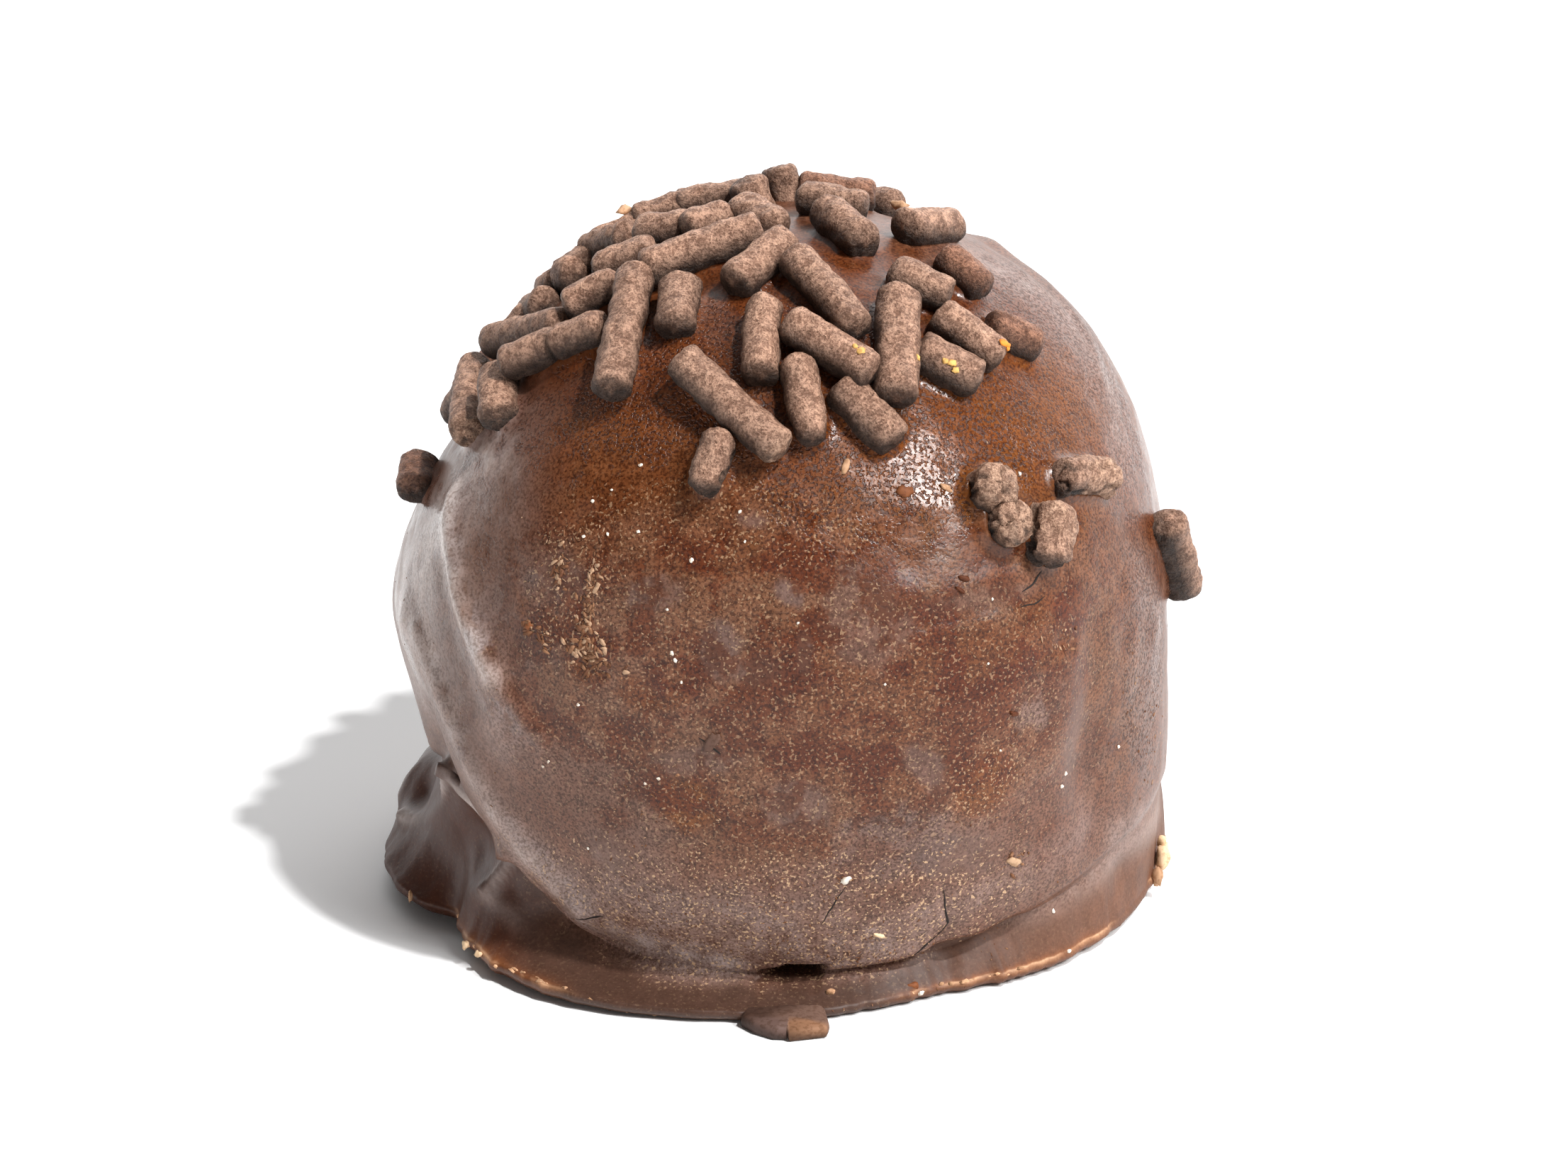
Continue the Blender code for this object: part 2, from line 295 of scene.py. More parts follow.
BARE_PATCHES = (
    (-29, 10.5, 2.0, 2.2, 0, 1.0),
    (-30, 17, 1.2, 5.0, 0, 0.8),
    (-35, 21, 1.6, 2.4, 0, 0.7),
    (-36, 12, 3.0, 1.2, 0, 0.7),
    (-28, 9, 3.8, 3.4, 0, 0.9),
    (-18, 6, 6.5, 2.4, 5, 0.85),
    (-14, -10, 6.0, 4.6, -10, 0.9),
    (-25, -14, 3.0, 2.0, 0, 0.5),
    (15, 1, 3.4, 1.6, -25, 0.8),
    (29, -9, 5.0, 5.5, 0, 0.5),
    (42, 9, 3.2, 2.2, 0, 0.8),
    (6, 10, 8, 7, 0, 0.55),
    (27, 9.5, 14, 5, 0, 0.85),
    (41, 12, 7, 7, 0, 0.8),
    (14, 4, 8, 4, 0, 0.6),
    (17, -5, 8, 4, 0, 0.6),
    (-13, 12, 6, 4, 0, 0.5),
    (46, -22, 8, 5, 0, 0.5),
    (70, -12, 6, 14, 0, 0.35),
    (22, 16.5, 8.0, 1.8, 0, 0.75),
    (19, 24, 4.0, 3.0, 0, 0.6),
    (-5, 26, 13.0, 3.5, 0, 0.55),
    (9, -2, 13.0, 5.5, 0, 0.55),
    (2, 17, 2.0, 1.5, 0, 0.6),
    (61, 9, 4.5, 6.0, 0, 0.5),
    (-62, 22, 0.8, 2.0, 0, 0.8),
    (-20, 44, 20, 11, 0, 0.45),
    (0, 66, 60, 18, 0, 0.85),
    (10, 50, 30, 9, 0, 0.7),
    (-38, 33, 10, 8, 0, 0.35),
)
# Where the bare coat is warm and bright
WARM_PATCHES = (
    (42, 42, 24, 12, 0, 0.9),
    (48, 30, 8, 8, 0, 0.6),
    (-30, 38, 16, 7, 0, 0.25),
    (29, -9, 4.5, 5.0, 0, 0.6),
    (-14, -10.5, 4.5, 3.6, -10, 0.8),
)
# Where bloom and bare coat break up in to blotches
MOTTLED_PATCHES = (
    (3, 8, 46, 22, 0, 1.0),
    (-14, -10, 14, 8, 0, 0.8),
    (10, -8, 34, 14, 0, 0.6),
    (50, 0, 14, 22, 0, 0.5),
    (180, 0, 80, 50, 0, 0.35),
)
# Pale painted highlights and painted light along ridges, limbs and the bulge's lower edge: path (bearing,
# latitude), width in degrees, strength
HIGHLIGHT_LINES = (
    (((-66, 25), (-63, 21), (-57, 15), (-49, 8), (-44, 3)), 1.8, 0.62),
    (((-62, 19.5), (-56, 14), (-49, 7.5), (-44, 3)), 0.9, 0.45),
    (((-62, 30), (-68, 20), (-72, 8), (-70, -4)), 9.0, 0.44),
    (((-66, 4), (-60, -1), (-54, -6), (-50, -12), (-46, -18), (-40, -25)), 2.2, 0.38),
    (((-39, -26), (-34, -32), (-26, -36), (-10, -37)), 2.8, 0.26),
    (((50, -22), (44, -24), (37, -27), (22, -29), (15, -33), (9, -37)), 3.2, 0.10),
    (((59, -25), (70, -26), (82, -25)), 2.5, 0.20),
    (((-24, -23), (-12, -27), (4, -29)), 6.0, 0.10),
    (((-46, -20), (-34, -29), (-20, -34), (4, -35), (22, -33)), 5.0, 0.10),
    (((-62, 18), (-52, 11), (-46, 4), (-43, -3)), 4.5, 0.16),
    (((88, 62), (88, 50), (82, 40), (72, 30)), 5.0, 0.15),
)
# Painted highlights on the edges of the webs on the foot: path (bearing, radius, height), width in mm,
# strength
HIGHLIGHT_RIBS = (
    (((-64, 17.0, 8.0), (-70, 17.3, 5.8), (-77, 17.6, 4.2), (-86, 18.1, 3.0)), 0.38, 0.75),
    (((-64, 17.0, 8.0), (-57, 17.0, 7.2), (-50, 17.0, 6.2)), 0.34, 0.70),
    (((-46, 16.8, 6.2), (-49, 16.6, 4.8), (-52, 17.0, 3.5)), 0.30, 0.65),
    (((-90, 17.2, 6.6), (-95, 17.9, 5.0), (-93, 18.5, 3.2)), 0.30, 0.50),
    (((-52, 17.2, 3.2), (-42, 17.2, 2.4)), 0.5, 0.20),
    (((40, 16.4, 3.4), (52, 17.0, 3.8), (66, 17.5, 4.2), (80, 17.8, 4.0)), 0.9, 0.30),
)
# Where fine pale dust lies: bearing, latitude, half width, half height, tilt, strength
DUST_PATCHES = (
    (0, -30, 32, 12, 0, 1.0),
    (-32, 18, 8, 12, 0, 0.5),
    (-8, 30, 20, 6, 0, 0.4),
    (5, 0, 40, 22, 0, 0.35),
    (29, -9, 6, 6, 0, 0.6),
)
# Where the coat is grainy, so that it glitters and shows pits
GRAIN_PATCHES = (
    (22, 38, 18, 10, 0, 0.85),
    (38, 36, 12, 12, 0, 0.4),
    (6, 36, 8, 8, 0, 0.85),
    (58, 18, 12, 24, 0, 0.4),
    (66, 0, 10, 20, 0, 0.7),
    (75, 42, 14, 22, 0, 0.6),
    (-2, 52, 40, 14, 0, 0.75),
    (0, 10, 36, 30, 0, 0.4),
    (-60, 10, 14, 24, 0, 0.4),
)
# Where the coat still shines
GLOSS_PATCHES = (
    (10, 55, 70, 18, 0, 0.9),
    (20, 39, 20, 13, 0, 1.15),
    (55, 34, 20, 24, 0, 0.5),
    (66, 0, 8, 18, 0, 0.5),
    (-25, 42, 26, 12, 0, 0.7),
)

# ---- Sprinkles --------------------------------------------------------------------------
SPRINKLE_RADIUS = 0.88
SPRINKLE_SINK = 0.14  # how much deeper than their lift they all sit
NEAR_SIDES, NEAR_STEP = 32, 0.26  # sides and ring spacing of those in front
FAR_SIDES, FAR_STEP = 18, 0.42
KIND_THICKNESS = {"fat": 1.08, "split": 1.18, "crushed": 0.95}
KIND_ROUGHNESS = {"crushed": 0.20, "coated": 0.06, "split": 0.14, "stub": 0.17, "dusty": 0.12}
PLAIN_ROUGHNESS = 0.11
KIND_GROOVES = {"split": 3, "stub": 3, "crushed": 2, "dusty": 2}
# From where on a sprinkle shows its paler inside, from -1 to 1 along it
KIND_BROKEN_FROM = {"ringed": 0.80, "stub": 0.1, "split": -0.2, "dusty": -0.4}
GROOVE_WIDTH, SPLIT_WIDTH = 0.13, 0.2
GROOVE_DEPTH, SPLIT_DEPTH = 0.24, 0.5
# The rounded corner of an end, ring by ring: angles that place each ring and give its radius
CORNER_PLACES = (90, 72, 52, 30, 8)
CORNER_RADII = (4, 26, 48, 70, 90)
# Painted light and shade on a sprinkle: a share of the way out, the way the light comes from,
# and the tone for how far a place faces both
OUT_SHARE = 0.50
LIT_FROM = (0.14, 0.0, 0.62)
LIT_STEPS, LIT_TONES = (-0.2, 0.35, 0.9), (0.14, 0.64, 1.25)
# The two rings of the flat end: how far out they stand in mm, and their share of the radius
END_RINGS = ((0.05, 0.22), (0.035, 0.42))
# bearing, latitude, heading (0 to the pole, 90 toward higher bearings), length, lift, kind.
# Most bearings, latitudes and headings were worked out by another program from the places
# of the sprinkles' ends, and rounded. They weren't chosen by hand.
SPRINKLES = (
    (-40, 55, 154, 7.1, 0.90, "plain"),
    (-30, 61, 159, 3.1, 0.72, "plain"),
    (-58, 50, 47, 5.5, 0.80, "cracked"),
    (-78, 49, 56, 6.2, 0.72, "plain"),
    (-62, 59, 21, 2.7, 0.72, "plain"),
    (-70, 66, 26, 2.9, 0.72, "plain"),
    (-38, 72, 34, 5.6, 0.90, "plain"),
    (-103, 43, 160, 2.5, 0.75, "plain"),
    (-110, 52, 31, 3.4, 0.80, "cracked"),
    (-112, 56, 149, 2.6, 0.80, "plain"),
    (-107, 47, 50, 3.6, 0.75, "plain"),
    (-101, 37, 155, 2.0, 0.72, "coated"),
    (-66, 40, 122, 3.3, 0.72, "plain"),
    (-79, 36, 110, 5.6, 0.75, "ringed"),
    (-110, 62, 35, 4.0, 0.80, "crushed"),
    (-121, 62, 144, 3.3, 0.80, "plain"),
    (-81, 73, 34, 2.7, 0.80, "plain"),
    (-132, 68, 134, 3.7, 0.80, "plain"),
    (-148, 72, 120, 3.9, 0.80, "plain"),
    (-31, 83, 117, 3.2, 0.80, "plain"),
    (-10, 71, 27, 4.0, 0.78, "plain"),
    (12, 64, 158, 5.3, 0.78, "plain"),
    (154, 73, 65, 3.6, 0.80, "coated"),
    (105, 83, 31, 3.2, 0.80, "ringed"),
    (43, 78, 11, 3.5, 0.80, "fat"),
    (-61, 78, 4, 2.3, 0.80, "plain"),
    (86, 70, 125, 4.0, 0.75, "plain"),
    (63, 62, 11, 2.6, 0.60, "coated"),
    (44, 63, 146, 2.8, 0.72, "plain"),
    (26, 54, 23, 6.0, 0.80, "fat"),
    (45, 53, 157, 3.5, 0.75, "plain"),
    (59, 51, 136, 2.6, 0.42, "coated"),
    (36, 50, 137, 3.0, 0.68, "plain"),
    (-5, 56, 178, 4.1, 0.72, "plain"),
    (10, 54, 134, 4.5, 1.00, "plain"),
    (4, 47, 174, 4.0, 0.70, "tapered"),
    (16, 45, 149, 3.6, 0.55, "plain"),
    (-10, 46, 130, 6.4, 0.85, "ringed"),
    (-12, 38, 11, 2.7, 0.75, "crushed"),
    (42, 24, 31, 2.7, 0.75, "split"),
    (55, 29, 107, 3.8, 0.45, "dusty"),
    (80.5, 9.5, 148, 5.3, 0.72, "plain"),
    (-84, 21, 109, 2.4, 0.80, "coated"),
    (-100, 30, 30, 2.8, 0.72, "plain"),
)
# Sprinkles on end: bearing, latitude, length, thickness, lift, kind
STANDING = (
    (180, 74, 2.7, 0.95, 0.70, "plain"),
    (-158, 78, 2.0, 0.95, 0.60, "plain"),
    (34, 32, 2.0, 1.24, 0.60, "stub"),
    (35, 27, 1.9, 1.20, 0.55, "stub"),
)
# Sprinkles thrown on the far side at random. Few throws stay, because most fall in sight
# of the camera or too near another sprinkle.
THROWS = 5400
THROWN_LATITUDES = (38, 82)
THROWN_BEARINGS = (98, 262)
THROWN_LENGTHS = (2.6, 6.2)
THROWN_LIFTS = (0.65, 0.95)
LEAST_GAP = 1.85  # between the axes of two sprinkles
# How far round to the back one must be, up to a bearing at the side and past it
SIDE_BEARING = 145
HIDDEN_AT_SIDE, HIDDEN_AT_BACK = 0.40, 0.06

# ---- Crumbs -----------------------------------------------------------------------------
# Clusters: bearing, latitude, spread round, spread up, how many, smallest and largest size
CRUMB_CLUSTERS = (
    (-31, 17, 4.5, 7.0, 60, 0.04, 0.10),
    (-29, 20, 0.6, 2.4, 70, 0.07, 0.25),
    (-29.5, 14, 0.7, 2.8, 80, 0.07, 0.27),
    (-29, 10.5, 1.8, 0.8, 70, 0.08, 0.30),
    (-27, 9, 1.3, 1.2, 40, 0.06, 0.24),
    (-35, 21, 1.0, 1.3, 50, 0.07, 0.27),
    (-39, 12, 0.6, 0.5, 18, 0.10, 0.30),
    (-36, 11, 1.0, 0.8, 24, 0.07, 0.22),
    (-32, 26, 2.0, 1.2, 26, 0.05, 0.16),
    (-36, 25, 1.5, 1.0, 16, 0.05, 0.16),
    (0, -28, 17, 7.0, 330, 0.04, 0.10),
    (-8, -22, 14, 8.0, 150, 0.04, 0.10),
    (-15, -9, 5.0, 4.0, 70, 0.04, 0.11),
    (30, -9, 4.5, 4.0, 60, 0.04, 0.12),
    (0, 8, 30, 20, 240, 0.035, 0.08),
    (10, -35, 9.0, 2.5, 90, 0.05, 0.13),
    (37, -23, 0.9, 0.9, 16, 0.10, 0.26),
    (9, -22, 0.6, 0.5, 7, 0.08, 0.20),
    (7, -25, 1.0, 1.6, 12, 0.05, 0.10),
    (42, 9, 1.8, 1.2, 16, 0.06, 0.16),
    (17, 20, 4.0, 1.2, 14, 0.05, 0.11),
    (60, -6, 3.5, 6.0, 30, 0.04, 0.10),
    (70, -14, 3.0, 4.0, 30, 0.05, 0.12),
    (40, -37, 16, 1.0, 40, 0.05, 0.12),
    (150, 10, 40, 25, 160, 0.04, 0.10),
    (-140, 10, 40, 25, 160, 0.04, 0.10),
)
# Single pale beads: bearing, latitude, size
BEADS = (
    (-25, 37, 0.16), (-32, 31, 0.14), (-29, 33, 0.10), (-32, 26, 0.13), (-28, 27, 0.12),
    (-23, 28, 0.13), (-14, 25, 0.20), (-17, 18, 0.11), (-16, 12, 0.17), (-15.5, 11, 0.15),
    (-14.5, 8, 0.11), (-30, 2.5, 0.12), (-7, 32, 0.13), (45, -12, 0.15), (44, -13.5, 0.17),
    (58, -12, 0.15), (47, -33.5, 0.16), (48.5, -37, 0.18), (22, -39.3, 0.22), (31, -4, 0.10),
    (-35, -7, 0.12), (-36, -8, 0.13), (31, 17.5, 0.11), (2, 17, 0.10), (-18, -7, 0.13),
    (-20, -8, 0.11), (42, 33, 0.16), (38, 31, 0.14), (-6, 28, 0.10), (14, 8, 0.10), (29, 9, 0.10),
    (-30, -20, 0.12), (120, 20, 0.15), (160, 5, 0.15), (-130, 15, 0.15),
)
# Larger flakes: bearing, latitude, long and short half size, turn, tone
FLAKES = (
    (10.5, 38, 0.34, 0.16, 70, TAN),
    (20, 34, 0.42, 0.24, -20, RUST),
    (27.5, 33.5, 0.34, 0.13, -35, TAN),
    (36, -23, 0.50, 0.22, -30, (0.52, 0.33, 0.20)),
    (9, -22, 0.26, 0.16, 30, BEAD),
    (15, -32, 0.34, 0.12, -25, STRAW),
    (-39, 12, 0.24, 0.14, 30, RUST),
    (-10, -0.5, 0.55, 0.26, 60, BLOOM),
    (27, 21, 0.26, 0.13, -20, BARE),
    (26, 19.5, 0.26, 0.09, -40, BARE),
    (33, 1, 0.26, 0.10, -20, BARE),
)
# Broken chocolate along the rim: half sizes, then first and last bearing, how many, tone
RIM_CRUMB_SIZES = ((0.14, 0.34), (0.06, 0.12), (0.06, 0.11))
RIM_CRUMBS = ((20, 58, 46, TAN), (-60, -32, 26, TAN), (84, 89, 9, STRAW), (-40, -33, 5, TAN))
STRAW_GROWTH = 1.5  # how much larger the straw-coloured ones are
# Larger broken bits on the foot's rim, and the last three on the top: bearing, radius,
# height, half sizes, tone
CHUNKS = (
    (79, 17.95, 1.8, (0.80, 0.40, 0.32), STRAW),
    (77, 17.85, 1.1, (0.50, 0.30, 0.25), TAN),
    (80, 17.9, 2.4, (0.40, 0.26, 0.22), STRAW),
    (-28.5, 18.05, 0.66, (0.10, 0.34, 0.10), TAN),
    (-69, 18.45, 1.3, (0.34, 0.12, 0.10), TAN),
    (21, 15.9, 0.75, (0.20, 0.34, 0.20), RUST),
    (7.5, 15.9, 0.9, (0.16, 0.22, 0.16), TAN),
    (-52, 18.2, 1.0, (0.22, 0.20, 0.16), STRAW),
    (-49, 18.2, 0.9, (0.14, 0.16, 0.14), STRAW),
    (133, 7.2, 31.0, (0.22, 0.52, 0.34), TAN),
    (127, 7.0, 30.9, (0.20, 0.40, 0.30), TAN),
    (-123, 8.7, 30.85, (0.18, 0.50, 0.30), TAN),
)
# Specks on the sprinkles: bearing, latitude, half size, tone
FLECKS = (
    (47.9, 49.2, 0.32, ORANGE),
    (48.4, 48.6, 0.20, ORANGE),
    (15.1, 51.5, 0.24, YELLOW),
    (14.2, 52.2, 0.15, YELLOW),
    (34.5, 49.0, 0.22, YELLOW),
    (33.3, 49.5, 0.16, YELLOW),
    (34.8, 48.1, 0.17, YELLOW),
    (27.5, 50.5, 0.16, YELLOW),
    (86, 6, 0.22, ORANGE),
)
# Hairline cracks: how far they wander, stand out and go in, in mm, then path (bearing,
# latitude) and width
CRACK_WANDER, CRACK_RISE, CRACK_DEPTH = 0.06, 0.012, 0.08
CRACKS = (
    (((24.5, -25.5), (25.5, -29), (26.5, -31.5), (25, -33.5), (22, -36), (19.5, -38.5)), 0.10),
    (((-35, -33), (-32, -32.2), (-30, -32)), 0.07),
    (((9, -23), (7.5, -26), (5.8, -29.5)), 0.06),
    (((36, 17.5), (38, 18.2), (40, 19.5)), 0.09),
    (((35, 15.5), (38, 15.5), (40, 16)), 0.06),
    (((-12, 0), (-10, -1.5), (-9, -2.5)), 0.08),
)

# ---- The chip that lies at the foot's front, round its outline --------------------------
CHIP_EDGE = (0.26, 0.13, 0.07)
CHIP_OUTLINE = (
    (-1.75, -16.6), (-1.9, -17.5), (-1.3, -18.2), (-0.5, -18.75), (0.1, -18.8), (0.12, -18.5),
    (0.25, -18.95), (1.9, -18.55), (2.0, -18.1), (1.85, -17.0), (1.8, -16.2), (0, -15.6),
)
CHIP_TONES = (FOOT, FOOT, ASH, ASH, ASH, CHIP, CHIP_EDGE, CHIP_EDGE, CHIP, CHIP, CHIP, FOOT)
CHIP_LAYERS = ((0.05, 0.97), (0.30, 1.0), (0.52, 0.98), (0.60, 0.90), (0.66, 0.5))  # height, share
CHIP_TOP = 0.68

# ---- Stage ------------------------------------------------------------------------------
CAMERA_ELEVATION = 21.0
CAMERA_DISTANCE = 202.8
CAMERA_LENS = 100
AIM_RISE = 0.25
FLOOR_SIZE = 3.0  # metres
FLOOR_DROP = 0.00002  # metres that it lies under the table's height
PAPER, PAPER_ROUGHNESS = 0.93, 0.9
# Lamps: name, bearing, elevation, strength, how wide they look
LAMPS = (
    ("key", 52.0, 60.0, 2.65, 3.0),
    ("halo", 54.0, 44.0, 1.2, 20.0),
    ("glint", 58.0, 41.5, 1.5, 12.0),
)
SKY_SIDE = (-0.75, 0.0)  # it dims to the left between these, of 1
SKY_LEFT = 0.18
SKY_TURN = (0.15, 0.75)  # how far to the back, of 1, the light of the surroundings turns
SKY_STRENGTHS = (0.16, 2.85)  # in front and behind
HORIZON = (0.09, 0.2)  # the pale walls all round end between these heights, of 1
HORIZON_STRENGTH = 1.05


def around(knots, bearing):
    """The smooth value at each bearing of (bearing, value) knots that close on themselves."""
    turn, value = np.array(knots, float).T
    turn = np.concatenate((turn[-2:] - 360, turn, turn[:2] + 360))
    value = np.concatenate((value[-2:], value, value[:2]))
    slope = np.gradient(value, turn)
    place = (bearing - turn[2]) % 360 + turn[2]
    i = np.searchsorted(turn, place, side="right") - 1
    span = turn[i + 1] - turn[i]
    u = (place - turn[i]) / span
    start = (1 + 2 * u) * (1 - u) ** 2 * value[i] + u * (1 - u) ** 2 * span * slope[i]
    end = u * u * (3 - 2 * u) * value[i + 1] - u * u * (1 - u) * span * slope[i + 1]
    return start + end


def direction(bearing, latitude):
    """The unit vector from the ball's centre at a bearing and latitude in degrees."""
    turn, rise = np.radians(bearing), np.radians(latitude)
    level = np.cos(rise)
    return np.stack((np.sin(turn) * level, -np.cos(turn) * level, np.sin(rise) + 0 * turn), axis=-1)


def angle_from(way, bearing, latitude):
    """Degrees between each unit vector and one bearing and latitude."""
    return np.degrees(np.arccos(np.clip(way @ direction(bearing, latitude), -1, 1)))


def turn_from(bearing, middle):
    """Degrees that each bearing is past a middle one, the shorter way round."""
    return (bearing - middle + 180) % 360 - 180


def distance_to_path(places, points):
    """Distance from each place to the nearest point of a path of straight lengths."""
    nearest = np.full(places.shape[:-1], np.inf)
    for a, b in zip(points, points[1:]):
        along = np.clip((places - a) @ (b - a) / ((b - a) @ (b - a)), 0, 1)
        nearest = np.minimum(nearest, np.linalg.norm(places - a - along[..., None] * (b - a), axis=-1))
    return nearest


def ridge_height(way, ridges):
    """What rounded ridges or creases add to the radius along each unit vector."""
    height = np.zeros(way.shape[:-1])
    for path, width, top in ridges:
        gap = distance_to_path(way, [direction(*place) for place in path])
        height += top * np.exp(-(np.degrees(gap) / width) ** 2)
    return height


def swelling_height(way, swellings):
    """What round swellings and dents add to the radius along each unit vector."""
    height = np.zeros(way.shape[:-1])
    for bearing, latitude, size, top in swellings:
        height += top * np.exp(-(angle_from(way, bearing, latitude) / size) ** 2)
    return height


def unevenness(way):
    """The slow waves that keep the coat from being a true ball."""
    height = np.zeros(way.shape[:-1])
    for x, y, z, start, top in WAVES:
        height += top * np.sin(way @ np.array((x, y, z)) + start)
    return height


def lumps(places, size, seed=0.0):
    """Smooth noise from -1 to 1 at each place, with lumps about `size` across."""
    flat = (places.reshape(-1, 3) / size + seed).tolist()
    return np.array([noise.noise(place) for place in flat]).reshape(places.shape[:-1])


def coat_radius(bearing, latitude):
    """Distance of the coat from the ball's centre, with its finer relief."""
    way = direction(bearing, latitude)
    below = np.sin(np.radians(np.minimum(latitude, 0)))
    sagged = BALL_RADIUS * (1 + around(SAG, bearing) * below ** 2)
    broad = swelling_height(way, SWELLINGS) + ridge_height(way, RIDGES) + unevenness(way)
    fine = swelling_height(way, DENTS) + ridge_height(way, CREASES)
    fine += 0.07 * lumps(way, 0.16) + 0.035 * lumps(way, 0.07, 5.0)
    return sagged + broad + fine


def arc(start, bend, end, share):
    """Points of the curve from start to end that bend pulls to itself."""
    return (1 - share) ** 2 * start + 2 * share * (1 - share) * bend + share ** 2 * end


def corner(neck, end, fullness):
    """The bend between neck and end: fullness 1 is right over the end, at the neck's height."""
    return np.array((neck[0] + fullness * (end[0] - neck[0]), end[1] + fullness * (neck[1] - end[1])))


def shares(count):
    """Even steps from just after 0 to 1, down a column."""
    return (np.arange(1, count + 1) / count)[:, None]


def ragged_rim(bearing):
    """How far the broken rim stands out from or back of its smooth outline."""
    turn = np.radians(bearing)
    round_the_rim = 17.5 * np.stack((np.sin(turn), np.cos(turn), 0 * turn), axis=-1)
    rough = np.full(bearing.shape, EVEN_RIM)
    for middle, reach, height in RAGGED:
        rough += height * np.exp(-(turn_from(bearing, middle) / reach) ** 4)
    return rough * (lumps(round_the_rim, 1.1) + 0.6 * lumps(round_the_rim, 0.45, 9.0))


def skin_sections(bearing):
    """Radius and height of every ring at every bearing, and how far down the section it is:
    0-1 wall, 1-2 tuck, 2-3 foot, 3-4 rim, 4-5 underside."""
    run = around(RUN_TOGETHER, bearing)
    latitude = 90 + (around(WALL_END, bearing) + RUN_LATITUDE * run - 90) * shares(WALL_RINGS)
    distance = coat_radius(bearing, latitude)
    rise = np.radians(latitude)
    wall = np.array((distance * np.cos(rise), BALL_CENTRE[2] + distance * np.sin(rise)))
    last = wall[:, -1]
    neck = np.array((around(NECK_RADIUS, bearing), around(NECK_HEIGHT, bearing)))
    neck += np.outer(RUN_NECK, run)
    rim = np.array((around(RIM_RADIUS, bearing) + ragged_rim(bearing), around(RIM_HEIGHT, bearing)))
    lift = around(RIM_LIFT, bearing)
    under = np.array((rim[0] - EDGE_ROUNDING, lift))
    edge_bend = np.array((rim[0] + EDGE_ROUNDING, (rim[1] + lift) / 2))
    fullness = around(FOOT_FULLNESS, bearing)
    rings = [wall]
    for start, bend, end, count in (
        (last, corner(neck, last, around(TUCK_FULLNESS, bearing)), neck, TUCK_RINGS),
        (neck, corner(neck, rim, fullness), rim, FOOT_RINGS),
        (rim, edge_bend, under, EDGE_RINGS),
    ):
        rings.append(arc(start[:, None], bend[:, None], end[:, None], shares(count)))
    step = shares(UNDERSIDE_RINGS)
    rings.append(np.array((under[0] + step * (BASE_RADIUS - under[0]), lift * (1 - step) ** 2)))
    counts = (WALL_RINGS, TUCK_RINGS, FOOT_RINGS, EDGE_RINGS, UNDERSIDE_RINGS)
    depth = np.concatenate([zone + shares(count)[:, 0] for zone, count in enumerate(counts)])
    return np.concatenate(rings, axis=1), depth


def grid_normals(grid):
    """Outward unit normals of a grid of rings that close on themselves."""
    along = np.roll(grid, -1, axis=1) - np.roll(grid, 1, axis=1)
    down = np.gradient(grid, axis=0)
    normal = np.cross(down, along)
    return normal / (np.linalg.norm(normal, axis=-1, keepdims=True) + 1e-9)


def at(bearing, radius, height):
    """A place from its bearing, its distance from the ball's axis and its height."""
    turn = np.radians(bearing)
    return np.array((radius * np.sin(turn), -radius * np.cos(turn), height))


def foot_relief(grid):
    """What the ribs and hollows of the foot add along its normals."""
    height = np.zeros(grid.shape[:-1])
    for path, width, rise in RIBS:
        gap = distance_to_path(grid, [at(*place) for place in path])
        height += rise * np.exp(-(gap / width) ** 2)
    for bearing, radius, level, size, depth in HOLLOWS:
        gap = np.linalg.norm(grid - at(bearing, radius, level), axis=-1)
        height -= depth * np.exp(-(gap / size) ** 2)
    return height


def hole_depth(bearing, grid):
    """How far the hole under the ball's front goes in toward the axis."""
    off = turn_from(bearing, HOLE_BEARING)
    ragged = off + 1.2 * lumps(grid, 0.5)
    blunt_end = np.exp(-(ragged / HOLE_HALF_WIDTH) ** 10)
    long_end = np.exp(-(ragged / HOLE_HALF_WIDTH) ** 2)
    tall = HOLE_GAPE + HOLE_WIDENING * off + 0.12 * lumps(grid, 0.7, 4.0)
    rise = grid[..., 2] - HOLE_HEIGHT - HOLE_RISE * off
    up = np.exp(-(rise / np.maximum(tall, 0.15)) ** 4)
    return HOLE_DEPTH * np.where(ragged > 0, blunt_end, long_end) * up


def fillet(grid, sprinkles):
    """How far the coat creeps up the sprinkles stuck in it."""
    height = np.zeros(grid.shape[:-1])
    for sprinkle in sprinkles:
        reach = sprinkle["length"] / 2 + CREEP_REACH
        near = np.linalg.norm(grid - sprinkle["centre"], axis=-1) < reach
        half = sprinkle["axis"] * (sprinkle["length"] / 2 - sprinkle["radius"])
        path = (sprinkle["centre"] - half, sprinkle["centre"] + half)
        gap = np.abs(distance_to_path(grid[near], path) - CREEP_LINE * sprinkle["radius"])
        crept = CREEP_HEIGHT * np.exp(-(gap / CREEP_WIDTH) ** 1.5)
        height[near] = np.maximum(height[near], crept)
    return height


def blend(colour, other, share):
    """Mixes each colour of a grid toward another by a share."""
    return colour + share[..., None] * (np.array(other) - colour)


def patch(way, bearing, latitude, wide, tall, tilt, strength, wobble):
    """Strength inside a soft-edged, uneven oval patch of the coat, and 0 outside it."""
    middle = direction(bearing, latitude)
    east = direction(bearing + 90, 0)
    north = np.cross(middle, east)
    x, y = np.degrees(way @ east), np.degrees(way @ north)
    turn = np.radians(tilt)
    across, up = x * np.cos(turn) + y * np.sin(turn), y * np.cos(turn) - x * np.sin(turn)
    reach = np.hypot(across / wide, up / tall) + 0.35 * wobble
    inside = np.clip((1.25 - reach) / 0.5, 0, 1)
    return strength * inside * inside * (3 - 2 * inside) * (way @ middle > 0)


